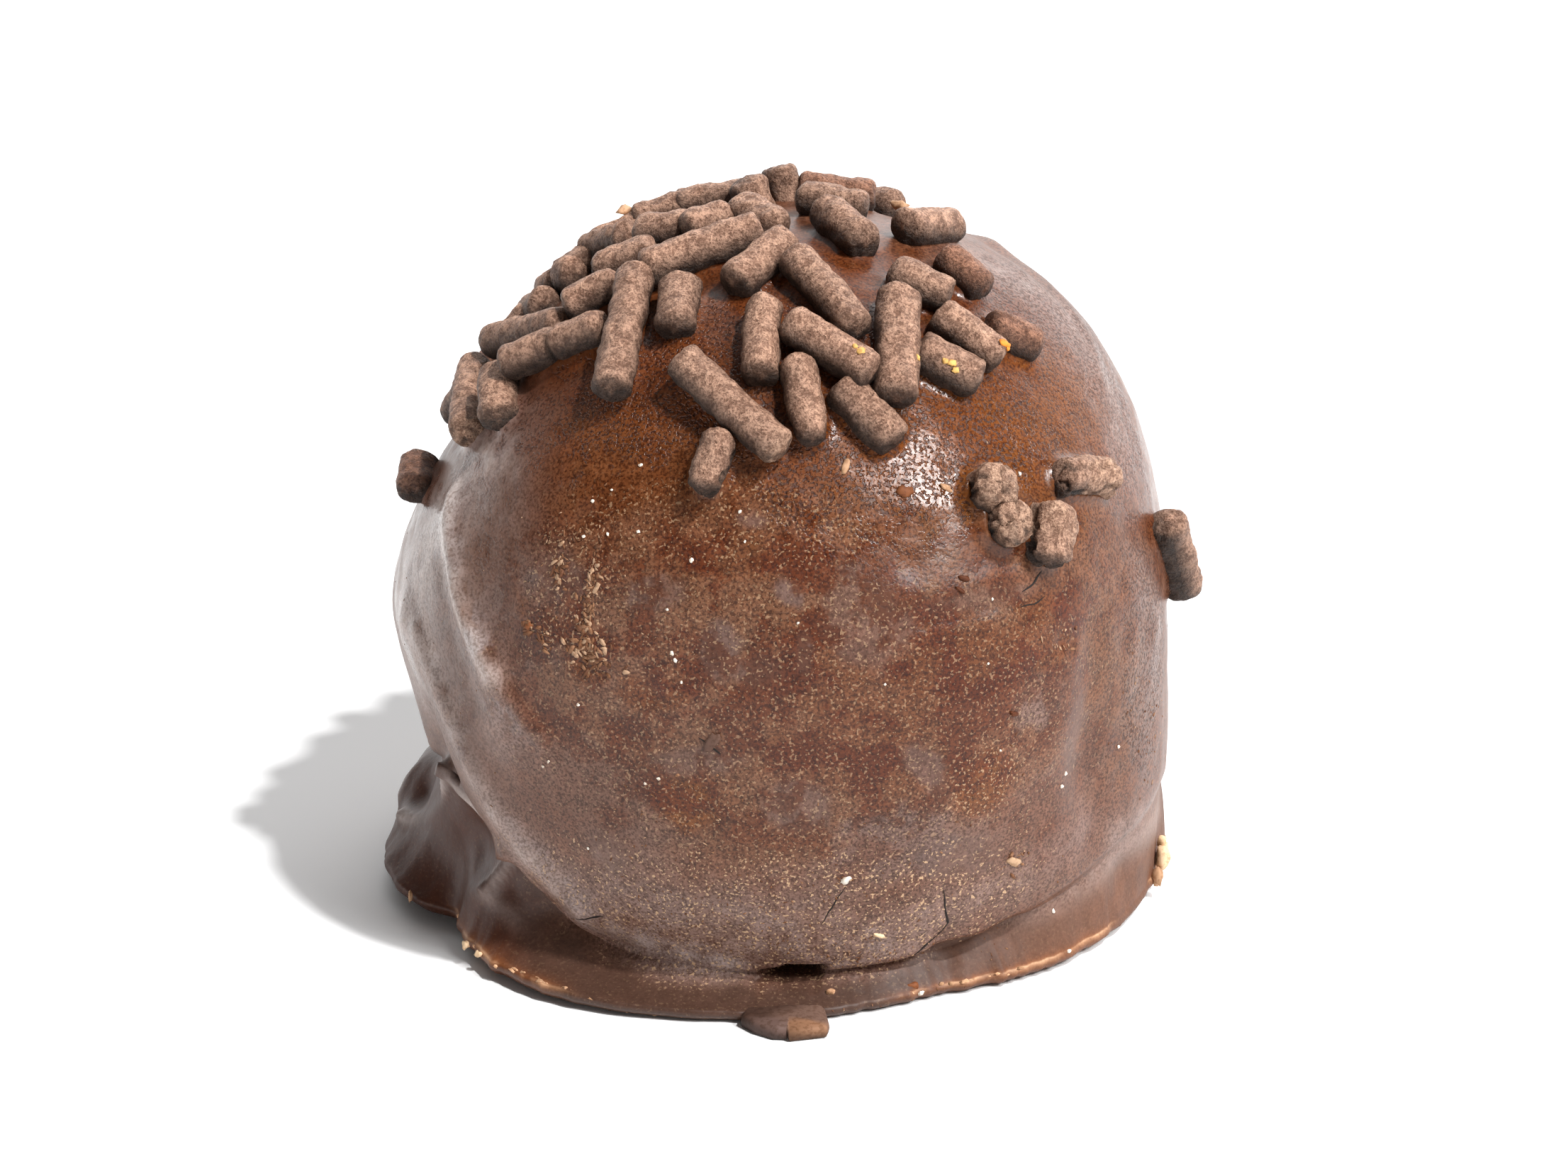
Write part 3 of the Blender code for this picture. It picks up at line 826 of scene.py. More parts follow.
def patches(way, rows, wobble):
    """The strongest of many patches everywhere on the coat."""
    share = np.zeros(way.shape[:-1])
    for row in rows:
        share = np.maximum(share, patch(way, *row, wobble))
    return share


def between(bearing, first, last):
    """1 from a first to a last bearing, fading to 0 outside them."""
    (start, fade_in), (end, fade_out) = first, last
    return np.clip((bearing - start) / fade_in, 0, 1) * np.clip((end - bearing) / fade_out, 0, 1)


def near_depth(depth, middle, fades):
    """1 at one place down the section, fading up and down from it."""
    up = np.exp(-np.maximum(middle - depth, 0) / fades[0])
    down = np.exp(-np.maximum(depth - middle, 0) / fades[1])
    return up[:, None] * down[:, None]


def coat_tone(way, wobble, slow, on_foot):
    """Colour of the coat before the foot is laid over it, with pale painted highlights along its ridges
    and limbs, and how strong they are.
    """
    tone = np.ones_like(way) * np.array(BROWN)
    bloom = patches(way, BLOOM_PATCHES, wobble) + 0.22 * slow + 0.12 * wobble
    tone = blend(tone, BLOOM, np.clip(bloom, 0, 1))
    tone = blend(tone, BARE, patches(way, BARE_PATCHES, wobble))
    tone = blend(tone, WARM, patches(way, WARM_PATCHES, wobble))
    tone = blend(tone, ASH, 0.75 * patches(way, ASH_PATCHES, 0.9 * wobble))
    tone *= (1 + 0.10 * slow + 0.10 * wobble)[..., None]
    highlight_mask = np.zeros_like(wobble)
    # painted highlights: pale lines along ridges and limbs, where the coat also loses its speckle and
    # blotches
    for path, width, strength in HIGHLIGHT_LINES:
        gap = np.degrees(distance_to_path(way, [direction(*place) for place in path]))
        line_highlight = strength * np.exp(-(gap / width) ** 2) * (1 - on_foot) * (1 + 0.7 * wobble)
        tone = blend(tone, PAINTED_HIGHLIGHT, np.clip(line_highlight, 0, 1))
        highlight_mask = np.maximum(highlight_mask, np.clip(1.3 * line_highlight, 0, 0.6))
    return tone, highlight_mask


def foot_tone(tone, grid, bearing, on_foot):
    """The foot's colour, darker on its left, with painted highlights on its webs and a faint painted
    sheen, laid over the coat's.
    """
    tone = blend(tone, FOOT, on_foot * around(FOOT_SHARE, bearing))
    tone = blend(tone, DARK_FOOT, 0.85 * on_foot * between(bearing, *DARK_SIDE))
    # a faint pale painted sheen on the foot's right
    tone = blend(tone, PAINTED_HIGHLIGHT, 0.03 * on_foot * between(bearing, *SHEEN_SIDE))
    # painted highlights along the edges of the foot's webs
    for path, width, strength in HIGHLIGHT_RIBS:
        gap = distance_to_path(grid, [at(*place) for place in path])
        tone = blend(tone, PAINTED_HIGHLIGHT, strength * np.exp(-(gap / width) ** 2) * on_foot)
    return tone


def rim_tone(tone, bearing, depth, wobble):
    """Rust and a pale lip where the rim is broken."""
    broken = np.zeros_like(bearing)
    for middle, reach, strength in BROKEN_RIM:
        round_it = np.exp(-(turn_from(bearing, middle) / reach) ** 6)
        broken = np.maximum(broken, strength * round_it)
    rust = near_depth(depth, RUST_DEPTH, RUST_FADES) * broken * (0.9 + 0.4 * wobble)
    tone = blend(tone, RUST, np.clip(rust, 0, 1))
    lip = near_depth(depth, LIP_DEPTH, LIP_FADES) * broken * (0.62 + 1.3 * wobble)
    return blend(tone, TAN, np.clip(lip, 0, 1))


def coat_finish(grid, bearing, depth):
    """Colour, dust, grain, gloss, speckle with painted glints, and mottle of the coat at every place of
    its grid.
    """
    way = (grid - BALL_CENTRE) / np.linalg.norm(grid - BALL_CENTRE, axis=-1, keepdims=True)
    wobble = lumps(way, 0.05, 3.0) + 0.6 * lumps(way, 0.02, 7.0)
    slow = lumps(way, 0.3, 11.0)
    delay = FOOT_DELAY * around(RUN_TOGETHER, bearing)
    on_foot = np.clip((depth[:, None] - FOOT_START - delay + 0.2 * wobble) / FOOT_FADE, 0, 1)
    tone, highlight_mask = coat_tone(way, wobble, slow, on_foot)
    tone = foot_tone(tone, grid, bearing, on_foot)
    tone = rim_tone(tone, bearing, depth, wobble)
    ashen = patches(way, ASH_PATCHES, 0.9 * wobble)
    smooth = np.maximum(ashen, SMOOTH_SHARE * between(bearing, *SMOOTH_SIDE))
    smooth = np.maximum(smooth, highlight_mask)
    gloss = patches(way, GLOSS_PATCHES, wobble) * (1 - on_foot)
    mottle = np.maximum(0.25, patches(way, MOTTLED_PATCHES, wobble))
    return {
        "tone": tone,
        "dust": patches(way, DUST_PATCHES, wobble) * (1 - 0.95 * on_foot),
        "grain": np.maximum(0.15, patches(way, GRAIN_PATCHES, wobble)) * (1 - 0.8 * on_foot),
        "gloss": gloss + on_foot * around(FOOT_GLOSS, bearing),
        "grit_and_glints": np.clip(1 - smooth, 0.2, 1) * (1 - 0.85 * on_foot),
        "mottle": mottle * (1 - 0.9 * on_foot) * (1 - highlight_mask),
    }


def to_row(places):
    """Metres in the row frame, from millimetres round the ball's axis."""
    return (np.asarray(places) + (*AXIS, 0.0)) * MM


def mesh_object(name, verts, faces, layers):
    """A smooth-shaded object from points in millimetres, with colour and value layers."""
    mesh = bpy.data.meshes.new(name)
    mesh.from_pydata(to_row(verts).tolist(), [], faces)
    mesh.update()
    mesh.shade_smooth()
    for layer, values in layers.items():
        if values.ndim == 2:
            colours = np.concatenate((values, np.ones((len(values), 1))), axis=1)
            made = mesh.attributes.new(layer, "FLOAT_COLOR", "POINT")
            made.data.foreach_set("color", colours.ravel())
        else:
            made = mesh.attributes.new(layer, "FLOAT", "POINT")
            made.data.foreach_set("value", values)
    thing = bpy.data.objects.new(name, mesh)
    bpy.context.scene.collection.objects.link(thing)
    return thing


def wrap_faces(rings, around_count, first):
    """Quads between rings of points that start at vertex number `first`."""
    faces = []
    for i in range(rings - 1):
        a, b = first + i * around_count, first + (i + 1) * around_count
        for j in range(around_count):
            k = (j + 1) % around_count
            faces.append((a + j, b + j, b + k, a + k))
    return faces


def make_skin(sprinkles):
    """The coat and foot of chocolate, as one closed skin."""
    even = np.arange(SEGMENTS) * 2 * np.pi / SEGMENTS
    bearing = np.degrees(even - FRONT_CROWDING * np.sin(even))
    bearing = (bearing + 180) % 360 - 180
    (radius, height), depth = skin_sections(bearing)
    turn = np.radians(bearing)
    grid = np.stack((radius * np.sin(turn), -radius * np.cos(turn), height), axis=-1)
    over_table = (depth < 4)[:, None]
    grid += grid_normals(grid) * (foot_relief(grid) * over_table)[..., None]
    inward = np.stack((-np.sin(turn), np.cos(turn), 0 * turn), axis=-1)
    at_neck = ((depth > 1.0) & (depth < 3))[:, None]
    hole = hole_depth(bearing, grid) * at_neck
    grid += inward * hole[..., None]
    creep = fillet(grid, sprinkles) * over_table
    grid += grid_normals(grid) * creep[..., None]
    grid[..., 2] = np.maximum(grid[..., 2], 0.0)
    layers = coat_finish(grid, bearing, depth)
    # painted shade, darkest at the back of the hole
    layers["tone"] *= (1 - HOLE_SHADE * hole / HOLE_DEPTH)[..., None]
    layers["gloss"] += CREEP_GLOSS * creep
    layers["grit_and_glints"] *= 1 - CREEP_SMOOTHING * creep
    top = BALL_CENTRE + (0, 0, float(coat_radius(np.array(0.0), np.array(90.0))))
    verts = np.concatenate((top[None], grid.reshape(-1, 3)))
    faces = [(0, 1 + j, 1 + (j + 1) % SEGMENTS) for j in range(SEGMENTS)]
    faces += wrap_faces(len(depth), SEGMENTS, 1)
    last = 1 + (len(depth) - 1) * SEGMENTS
    faces.append(tuple(last + j for j in reversed(range(SEGMENTS))))
    flat = {}
    for name, values in layers.items():
        values = values.reshape(-1, 3) if name == "tone" else values.reshape(-1)
        flat[name] = np.concatenate((values[:1], values))
    return mesh_object("coat_skin", verts, faces, flat)


class Surface:
    """Finds places and normals on a finished piece."""

    def __init__(self, skin):
        points = [v.co for v in skin.data.vertices]
        verts = [Vector((p.x / MM - AXIS[0], p.y / MM - AXIS[1], p.z / MM)) for p in points]
        self.tree = BVHTree.FromPolygons(verts, [tuple(p.vertices) for p in skin.data.polygons])

    def outward(self, bearing, latitude):
        """The outermost place that way from the ball's centre, or else the nearest one to
        the ball there, and its normal."""
        way = Vector(direction(bearing, latitude))
        start = Vector(BALL_CENTRE) + way * 40
        place, normal, _, _ = self.tree.ray_cast(start, -way)
        if place is None:
            place, normal, _, _ = self.tree.find_nearest(Vector(BALL_CENTRE) + way * BALL_RADIUS)
        return np.array(place), np.array(normal)


class Heap:
    """Many small solids gathered in to one mesh."""

    def __init__(self):
        self.verts, self.faces, self.tones = [], [], []
        self.count = 0

    def add(self, verts, faces, tones):
        """Adds one solid, with one tone or a tone for each of its points."""
        self.faces += [tuple(self.count + v for v in face) for face in faces]
        self.verts.append(verts)
        self.tones.append(np.ones((len(verts), 3)) * tones)
        self.count += len(verts)

    def to_object(self, name):
        """All of the solids as one object."""
        layers = {"tone": np.concatenate(self.tones)}
        return mesh_object(name, np.concatenate(self.verts), self.faces, layers)


def tangents(bearing, latitude):
    """Unit vectors toward higher bearings and toward the pole, along the ball."""
    east = direction(bearing + 90, 0)
    return east, np.cross(direction(bearing, latitude), east)


def lying_sprinkle(bearing, latitude, heading, length, lift, kind):
    """A sprinkle that lies on the coat."""
    way = direction(bearing, latitude)
    east, north = tangents(bearing, latitude)
    turn = np.radians(heading)
    broad = swelling_height(way, SWELLINGS) + ridge_height(way, RIDGES) + unevenness(way)
    return {
        "centre": BALL_CENTRE + way * (BALL_RADIUS + broad + lift - SPRINKLE_SINK),
        "axis": np.cos(turn) * north + np.sin(turn) * east,
        "out": way,
        "length": length,
        "radius": SPRINKLE_RADIUS * KIND_THICKNESS.get(kind, 1.0),
        "kind": kind,
        "sides": NEAR_SIDES,
        "step": NEAR_STEP,
    }


def standing_sprinkle(bearing, latitude, length, thickness, lift, kind):
    """A sprinkle that stands on end in the coat, a little askew."""
    sprinkle = lying_sprinkle(bearing, latitude, 0, length, lift, kind)
    axis = sprinkle["out"] + (0.05 if kind == "stub" else 0.25) * direction(bearing + 90, 0)
    sprinkle["axis"] = axis / np.linalg.norm(axis)
    sprinkle["out"] = np.cross(sprinkle["axis"], direction(bearing + 90, 0))
    sprinkle["radius"] = SPRINKLE_RADIUS * thickness
    return sprinkle


def spine(sprinkle):
    """A few places along a sprinkle's axis."""
    half = max(sprinkle["length"] / 2 - sprinkle["radius"], 0.1)
    return sprinkle["centre"] + np.linspace(-half, half, 5)[:, None] * sprinkle["axis"]


def gather_sprinkles(rng):
    """The sprinkles that have a place of their own, and those thrown on the far side."""
    sprinkles = [lying_sprinkle(*row) for row in SPRINKLES]
    sprinkles += [standing_sprinkle(*row) for row in STANDING]
    spines = [spine(sprinkle) for sprinkle in sprinkles]
    low, high = np.sin(np.radians(THROWN_LATITUDES))
    for _ in range(THROWS):
        latitude = np.degrees(np.arcsin(rng.uniform(low, high)))
        bearing = rng.uniform(*THROWN_BEARINGS)
        heading, length = rng.uniform(0, 180), rng.uniform(*THROWN_LENGTHS)
        sprinkle = lying_sprinkle(bearing, latitude, heading, length, rng.uniform(*THROWN_LIFTS), "plain")
        places = spine(sprinkle)
        behind = -sprinkle["out"] @ direction(0, CAMERA_ELEVATION)
        if behind < (HIDDEN_AT_SIDE if bearing < SIDE_BEARING else HIDDEN_AT_BACK):
            continue
        gaps = [np.linalg.norm(places[:, None] - other[None], axis=-1).min() for other in spines]
        if min(gaps) < LEAST_GAP:
            continue
        sprinkles.append({**sprinkle, "sides": FAR_SIDES, "step": FAR_STEP})
        spines.append(places)
    return sprinkles


def sprinkle_profile(length, radius, step):
    """Places along the axis and radii of the rings of a blunt, round-cornered rod."""
    round_corner = 0.5 * radius
    places = length / 2 - round_corner * (1 - np.sin(np.radians(CORNER_PLACES)))
    radii = radius - round_corner * (1 - np.sin(np.radians(CORNER_RADII)))
    x = [length / 2 + out for out, _ in END_RINGS] + list(places)
    r = [share * radius for _, share in END_RINGS] + list(radii)
    body = max(3, int((length - 2 * round_corner) / step))
    middle = np.linspace(x[-1], -x[-1], body + 2)[1:-1]
    xs = np.concatenate((x, middle, -np.array(x[::-1])))
    rs = np.concatenate((r, np.full(len(middle), radius), r[::-1]))
    return xs, rs


def sprinkle_groove(kind, radius, x, turn, local, seed):
    """How deep in a crack each place is: one round a cracked sprinkle, or some along it."""
    groove = np.zeros(local.shape[:-1])
    if kind == "cracked":
        wander = 0.18 * radius + 0.12 * np.cos(turn + seed)
        groove = np.exp(-((x[:, None] - wander) / GROOVE_WIDTH) ** 2)
    width = SPLIT_WIDTH if kind == "split" else GROOVE_WIDTH
    for k in range(KIND_GROOVES.get(kind, 0)):
        wander = seed + 1.7 * k + 0.9 * lumps(local, 0.7, seed + k)
        gap = radius * np.abs((turn - wander + np.pi) % (2 * np.pi) - np.pi)
        groove = np.maximum(groove, np.exp(-(gap / width) ** 2))
    return groove


def sprinkle_bump(kind, local, groove, seed):
    """How far each place of a sprinkle stands out, in mm."""
    rough = KIND_ROUGHNESS.get(kind, PLAIN_ROUGHNESS)
    height = rough * lumps(local, 0.9, seed) + 0.06 * lumps(local, 0.42, seed)
    height += 0.04 * lumps(local, 0.2, seed)
    if kind in ("crushed", "split", "stub"):
        height -= 0.16 * np.abs(lumps(local, 0.55, seed + 2))
    return height - (SPLIT_DEPTH if kind == "split" else GROOVE_DEPTH) * groove


def sprinkle_tone(kind, shade, along, local, groove, painted_light, seed):
    """A sprinkle's colour: painted light and shade by how it faces, painted shade in its cracks, paler
    where broken.
    """
    tone = np.ones(local.shape) * np.array(SPRINKLE_COATED if kind == "coated" else SPRINKLE)
    tone *= shade
    tone = tone * (1 + 0.22 * lumps(local, 0.5, seed + 4))[..., None]
    # painted light and shade: paler where it faces up and out, darker low down where it meets the coat
    tone = tone * np.interp(painted_light, LIT_STEPS, LIT_TONES)[..., None]
    # painted shade in the cracks
    tone = tone * (1 - 0.75 * groove)[..., None]
    if kind in KIND_BROKEN_FROM:
        cut = np.clip((along[:, None] - KIND_BROKEN_FROM[kind]) / 0.3, 0, 1)
        cut = cut * (0.55 + 0.9 * lumps(local, 0.35, seed))
        tone = blend(tone, SPRINKLE_INSIDE, np.clip(cut, 0, 0.8))
    return tone


def add_sprinkle(heap, sprinkle, rng):
    """Builds one sprinkle: a blunt rod with an uneven, pitted surface."""
    kind, radius, length = sprinkle["kind"], sprinkle["radius"], sprinkle["length"]
    axis, sides = sprinkle["axis"], sprinkle["sides"]
    x, width = sprinkle_profile(length, radius, sprinkle["step"])
    turn = np.arange(sides) * 2 * np.pi / sides
    out = sprinkle["out"] - (sprinkle["out"] @ axis) * axis
    out /= np.linalg.norm(out)
    side = np.cross(axis, out)
    squash = 1 + rng.uniform(0.02, 0.09) * np.cos(2 * turn + rng.uniform(0, 6.3))
    ring = np.cos(turn)[:, None] * out + np.sin(turn)[:, None] * side
    along = x / (length / 2)
    if kind == "tapered":
        width = width * (1 - 0.35 * np.clip(along, 0, 1) ** 2)
    bow = rng.uniform(-0.12, 0.12) * (1 - along ** 2)
    seed = rng.uniform(0, 90)
    verts = x[:, None, None] * axis + width[:, None, None] * squash[:, None] * ring
    verts = verts + bow[:, None, None] * side
    across = width[:, None] * np.cos(turn), width[:, None] * np.sin(turn)
    local = np.stack(np.broadcast_arrays(x[:, None], *across), -1)
    groove = sprinkle_groove(kind, radius, x, turn, local, seed)
    endness = np.clip((np.abs(x) - length / 2 + 0.45) / 0.45, 0, 1)[:, None]
    outward = local / np.maximum(np.linalg.norm(local[..., 1:], axis=-1, keepdims=True), 0.05)
    outward *= np.sqrt(1 - 0.8 * endness)[..., None]
    outward[..., 0] = 0.9 * endness * np.sign(along)[:, None]
    push = outward[..., 0:1] * axis + outward[..., 1:2] * out + outward[..., 2:3] * side
    height = sprinkle_bump(kind, local, groove, seed)
    verts = verts + height[..., None] * push + sprinkle["centre"]
    # how far each place faces up and out, for its painted light and shade
    painted_light = push @ (OUT_SHARE * sprinkle["out"] + np.array(LIT_FROM))
    tone = sprinkle_tone(kind, rng.uniform(0.90, 1.10), along, local, groove, painted_light, seed)
    count = len(x)
    verts, tone = verts.reshape(-1, 3), tone.reshape(-1, 3)
    tip, tail = verts[:sides].mean(0), verts[-sides:].mean(0)
    faces = wrap_faces(count, sides, 0)
    first, last = count * sides, (count - 1) * sides
    for j in range(sides):
        k = (j + 1) % sides
        faces.append((first, j, k))
        faces.append((first + 1, last + k, last + j))
    tone = np.concatenate((tone, tone[:1], tone[-1:]))
    heap.add(np.concatenate((verts, [tip, tail])), faces, tone)


def crumb_shapes():
    """Points and triangles of a round crumb, coarse and fine."""
    shapes = []
    for splits in (1, 2):
        ball = bmesh.new()
        bmesh.ops.create_icosphere(ball, subdivisions=splits, radius=1.0)
        verts = np.array([v.co for v in ball.verts])
        shapes.append((verts, [tuple(v.index for v in f.verts) for f in ball.faces]))
        ball.free()
    return shapes


def add_crumb(heap, shape, place, normal, sizes, tone, rng, turn=None):
    """A rough crumb that sits a third deep in the coat. Sizes are half its length, width
    and thickness."""
    verts, faces = shape
    side = np.cross(normal, (0.0, 0.0, 1.0))
    side /= np.linalg.norm(side) + 1e-9
    up = np.cross(normal, side)
    angle = rng.uniform(0, 2 * np.pi) if turn is None else np.radians(turn)
    cos, sin = np.cos(angle), np.sin(angle)
    frame = np.array((cos * side + sin * up, cos * up - sin * side, normal))
    rough = 1 + 0.7 * lumps(verts, 0.7, rng.uniform(0, 90))
    local = verts * rough[:, None] * np.array(sizes)
    tone = np.array(tone) * rng.uniform(0.85, 1.15)
    heap.add(local @ frame + place + normal * sizes[2] * 0.3, faces, tone)


def scatter_crumbs(heap, coarse, fine, surface, rng):
    """Crumbs, beads and flakes that lie on the coat."""
    for bearing, latitude, wide, tall, count, smallest, largest in CRUMB_CLUSTERS:
        for _ in range(count):
            spot_latitude = latitude + tall * rng.normal()
            spot_bearing = bearing + wide * rng.normal()
            place, normal = surface.outward(spot_bearing, min(spot_latitude, 60))
            size = smallest + (largest - smallest) * rng.uniform() ** 2
            tone = CRUMB_TONES[rng.integers(len(CRUMB_TONES))]
            sizes = size * np.array((rng.uniform(0.6, 1.4), rng.uniform(0.25, 0.6), 0.22))
            add_crumb(heap, coarse, place, normal, sizes, tone, rng)
    for bearing, latitude, size in BEADS:
        place, normal = surface.outward(bearing, latitude)
        add_crumb(heap, fine, place, normal, np.array((0.62, 0.5, 0.45)) * size, BEAD, rng)
    for bearing, latitude, long, short, turn, tone in FLAKES:
        place, normal = surface.outward(bearing, latitude)
        add_crumb(heap, fine, place, normal, (long, short, 0.09), tone, rng, turn)


def rim_crumbs(heap, fine, rng):
    """Flakes of broken chocolate along the ragged lengths of the rim."""
    for start, end, count, tone in RIM_CRUMBS:
        for bearing in np.linspace(start, end, count):
            off = bearing + rng.uniform(-0.6, 0.6)
            edge = around(RIM_RADIUS, off) + float(ragged_rim(np.array([off]))[0])
            height = around(RIM_HEIGHT, off) * rng.uniform(0.75, 1.0)
            place = at(off, edge - rng.uniform(0.08, 0.26), height)
            sizes = np.array([rng.uniform(*span) for span in RIM_CRUMB_SIZES])
            if tone == STRAW:
                sizes *= STRAW_GROWTH
            shade = np.array(tone) * rng.choice([1.0, 0.8, 1.25])
            turn = rng.uniform(-15, 15)
            add_crumb(heap, fine, place, direction(off, 0), sizes, shade, rng, turn)


def foot_chunks(heap, fine, rng):
    """Larger broken bits on the foot's rim, and a few on the top."""
    for bearing, radius, height, sizes, tone in CHUNKS:
        place, outward = at(bearing, radius, height), direction(bearing, 0)
        add_crumb(heap, fine, place, outward, sizes, tone, rng, 90)


def sprinkle_flecks(heap, fine, rods, rng):
    """Specks of orange and yellow on a few of the sprinkles."""
    for bearing, latitude, size, tone in FLECKS:
        place, normal = rods.outward(bearing, latitude)
        add_crumb(heap, fine, place, normal, (size, 0.75 * size, 0.07), tone, rng)


def add_hairline(heap, surface, path, width):
    """A thin crack that follows the coat, made as a near-black sliver let in to it as painted shade of
    its gap.
    """
    points = []
    for (b0, l0), (b1, l1) in zip(path, path[1:]):
        for step in range(6):
            share = step / 6
            points.append((b0 + share * (b1 - b0), l0 + share * (l1 - l0)))
    points.append(path[-1])
    places, normals = zip(*[surface.outward(*point) for point in points])
    places, normals = np.array(places), np.array(normals)
    along = np.gradient(places, axis=0)
    across = np.cross(normals, along)
    across /= np.linalg.norm(across, axis=1, keepdims=True)
    s = np.linspace(0, 1, len(points))
    half = width / 2 * (0.25 + np.sin(np.pi * s)) * (1 + 0.5 * lumps(places, 0.4))
    places = places + across * (CRACK_WANDER * lumps(places, 0.5, 8.0))[:, None]
    right, left = places + across * half[:, None], places - across * half[:, None]
    high, low = normals * CRACK_RISE, normals * -CRACK_DEPTH
    verts = np.stack((right + high, left + high, left + low, right + low), axis=1)
    count = len(points)
    faces = wrap_faces(count, 4, 0) + [(0, 1, 2, 3), tuple(4 * count - k for k in (1, 2, 3, 4))]
    heap.add(verts.reshape(-1, 3), faces, np.array(CRACK_SHADE))


def make_cracks(heap, surface):
    """The hairline cracks of the coat."""
    for path, width in CRACKS:
        add_hairline(heap, surface, path, width)


def node(tree, kind, **settings):
    """Adds a shader node. Settings name its inputs, or its own properties."""
    made = tree.nodes.new(kind)
    for name, value in settings.items():
        if hasattr(made, name):
            setattr(made, name, value)
        else:
            made.inputs[name.replace("_", " ")].default_value = value
    return made


def mixed(tree, first, second, share, mode="MIX"):
    """The colour that comes from mixing two. Each is a socket or a plain colour."""
    mix = node(tree, "ShaderNodeMix", data_type="RGBA", blend_type=mode)
    for socket, value in ((mix.inputs[0], share), (mix.inputs[6], first), (mix.inputs[7], second)):
        if isinstance(value, bpy.types.NodeSocket):
            tree.links.new(value, socket)
        else:
            socket.default_value = value if isinstance(value, float) else (*value, 1.0)
    return mix.outputs[2]


def tinted(tree, colour, tint, share=1.0):
    """A colour multiplied by a tint."""
    return mixed(tree, colour, tint, share, "MULTIPLY")


def maths(tree, operation, first, second):
    """The result of one sum. Each side is a socket or a number."""
    made = node(tree, "ShaderNodeMath", operation=operation)
    for socket, value in zip(made.inputs, (first, second)):
        if isinstance(value, bpy.types.NodeSocket):
            tree.links.new(value, socket)
        else:
            socket.default_value = value
    return made.outputs[0]


def ramp(tree, source, low, high):
    """Stretches a value so that low becomes 0 and high becomes 1."""
    made = node(tree, "ShaderNodeMapRange", interpolation_type="SMOOTHSTEP")
    made.inputs["From Min"].default_value = low
    made.inputs["From Max"].default_value = high
    tree.links.new(source, made.inputs["Value"])
    return made.outputs["Result"]


def new_material(name, roughness, specular):
    """A material that has the painted tone for its base colour, and its coordinates in mm."""
    material = bpy.data.materials.new(name)
    material.use_nodes = True
    tree = material.node_tree
    shader = tree.nodes["Principled BSDF"]
    shader.inputs["Roughness"].default_value = roughness
    shader.inputs["Specular IOR Level"].default_value = specular
    shader.inputs["Specular Tint"].default_value = (*SHEEN_TINT, 1.0)
    coordinates = node(tree, "ShaderNodeTexCoord")
    scale = node(tree, "ShaderNodeMapping")
    scale.inputs["Scale"].default_value = (1 / MM,) * 3
    tree.links.new(coordinates.outputs["Object"], scale.inputs["Vector"])
    tone = node(tree, "ShaderNodeAttribute", attribute_name="tone")
    return material, tree, shader, scale.outputs["Vector"], tone.outputs["Color"]


def grain_noise(tree, place, per_mm, detail=2.0, rough=0.5):
    """Fine noise with about so many lumps to the millimetre."""
    made = node(tree, "ShaderNodeTexNoise", Scale=per_mm, Detail=detail, Roughness=rough)
    tree.links.new(place, made.inputs["Vector"])
    return made.outputs["Fac"]


def bump(tree, height, strength, distance, normal=None):
    """A bump of so many millimetres, on top of another if one is given."""
    made = node(tree, "ShaderNodeBump", Distance=distance * MM)
    if isinstance(strength, bpy.types.NodeSocket):
        tree.links.new(strength, made.inputs["Strength"])
    else:
        made.inputs["Strength"].default_value = strength
    tree.links.new(height, made.inputs["Height"])
    if normal is not None:
        tree.links.new(normal, made.inputs["Normal"])
    return made.outputs["Normal"]


def value_layer(tree, name):
    """A painted value of the coat."""
    return node(tree, "ShaderNodeAttribute", attribute_name=name).outputs["Fac"]


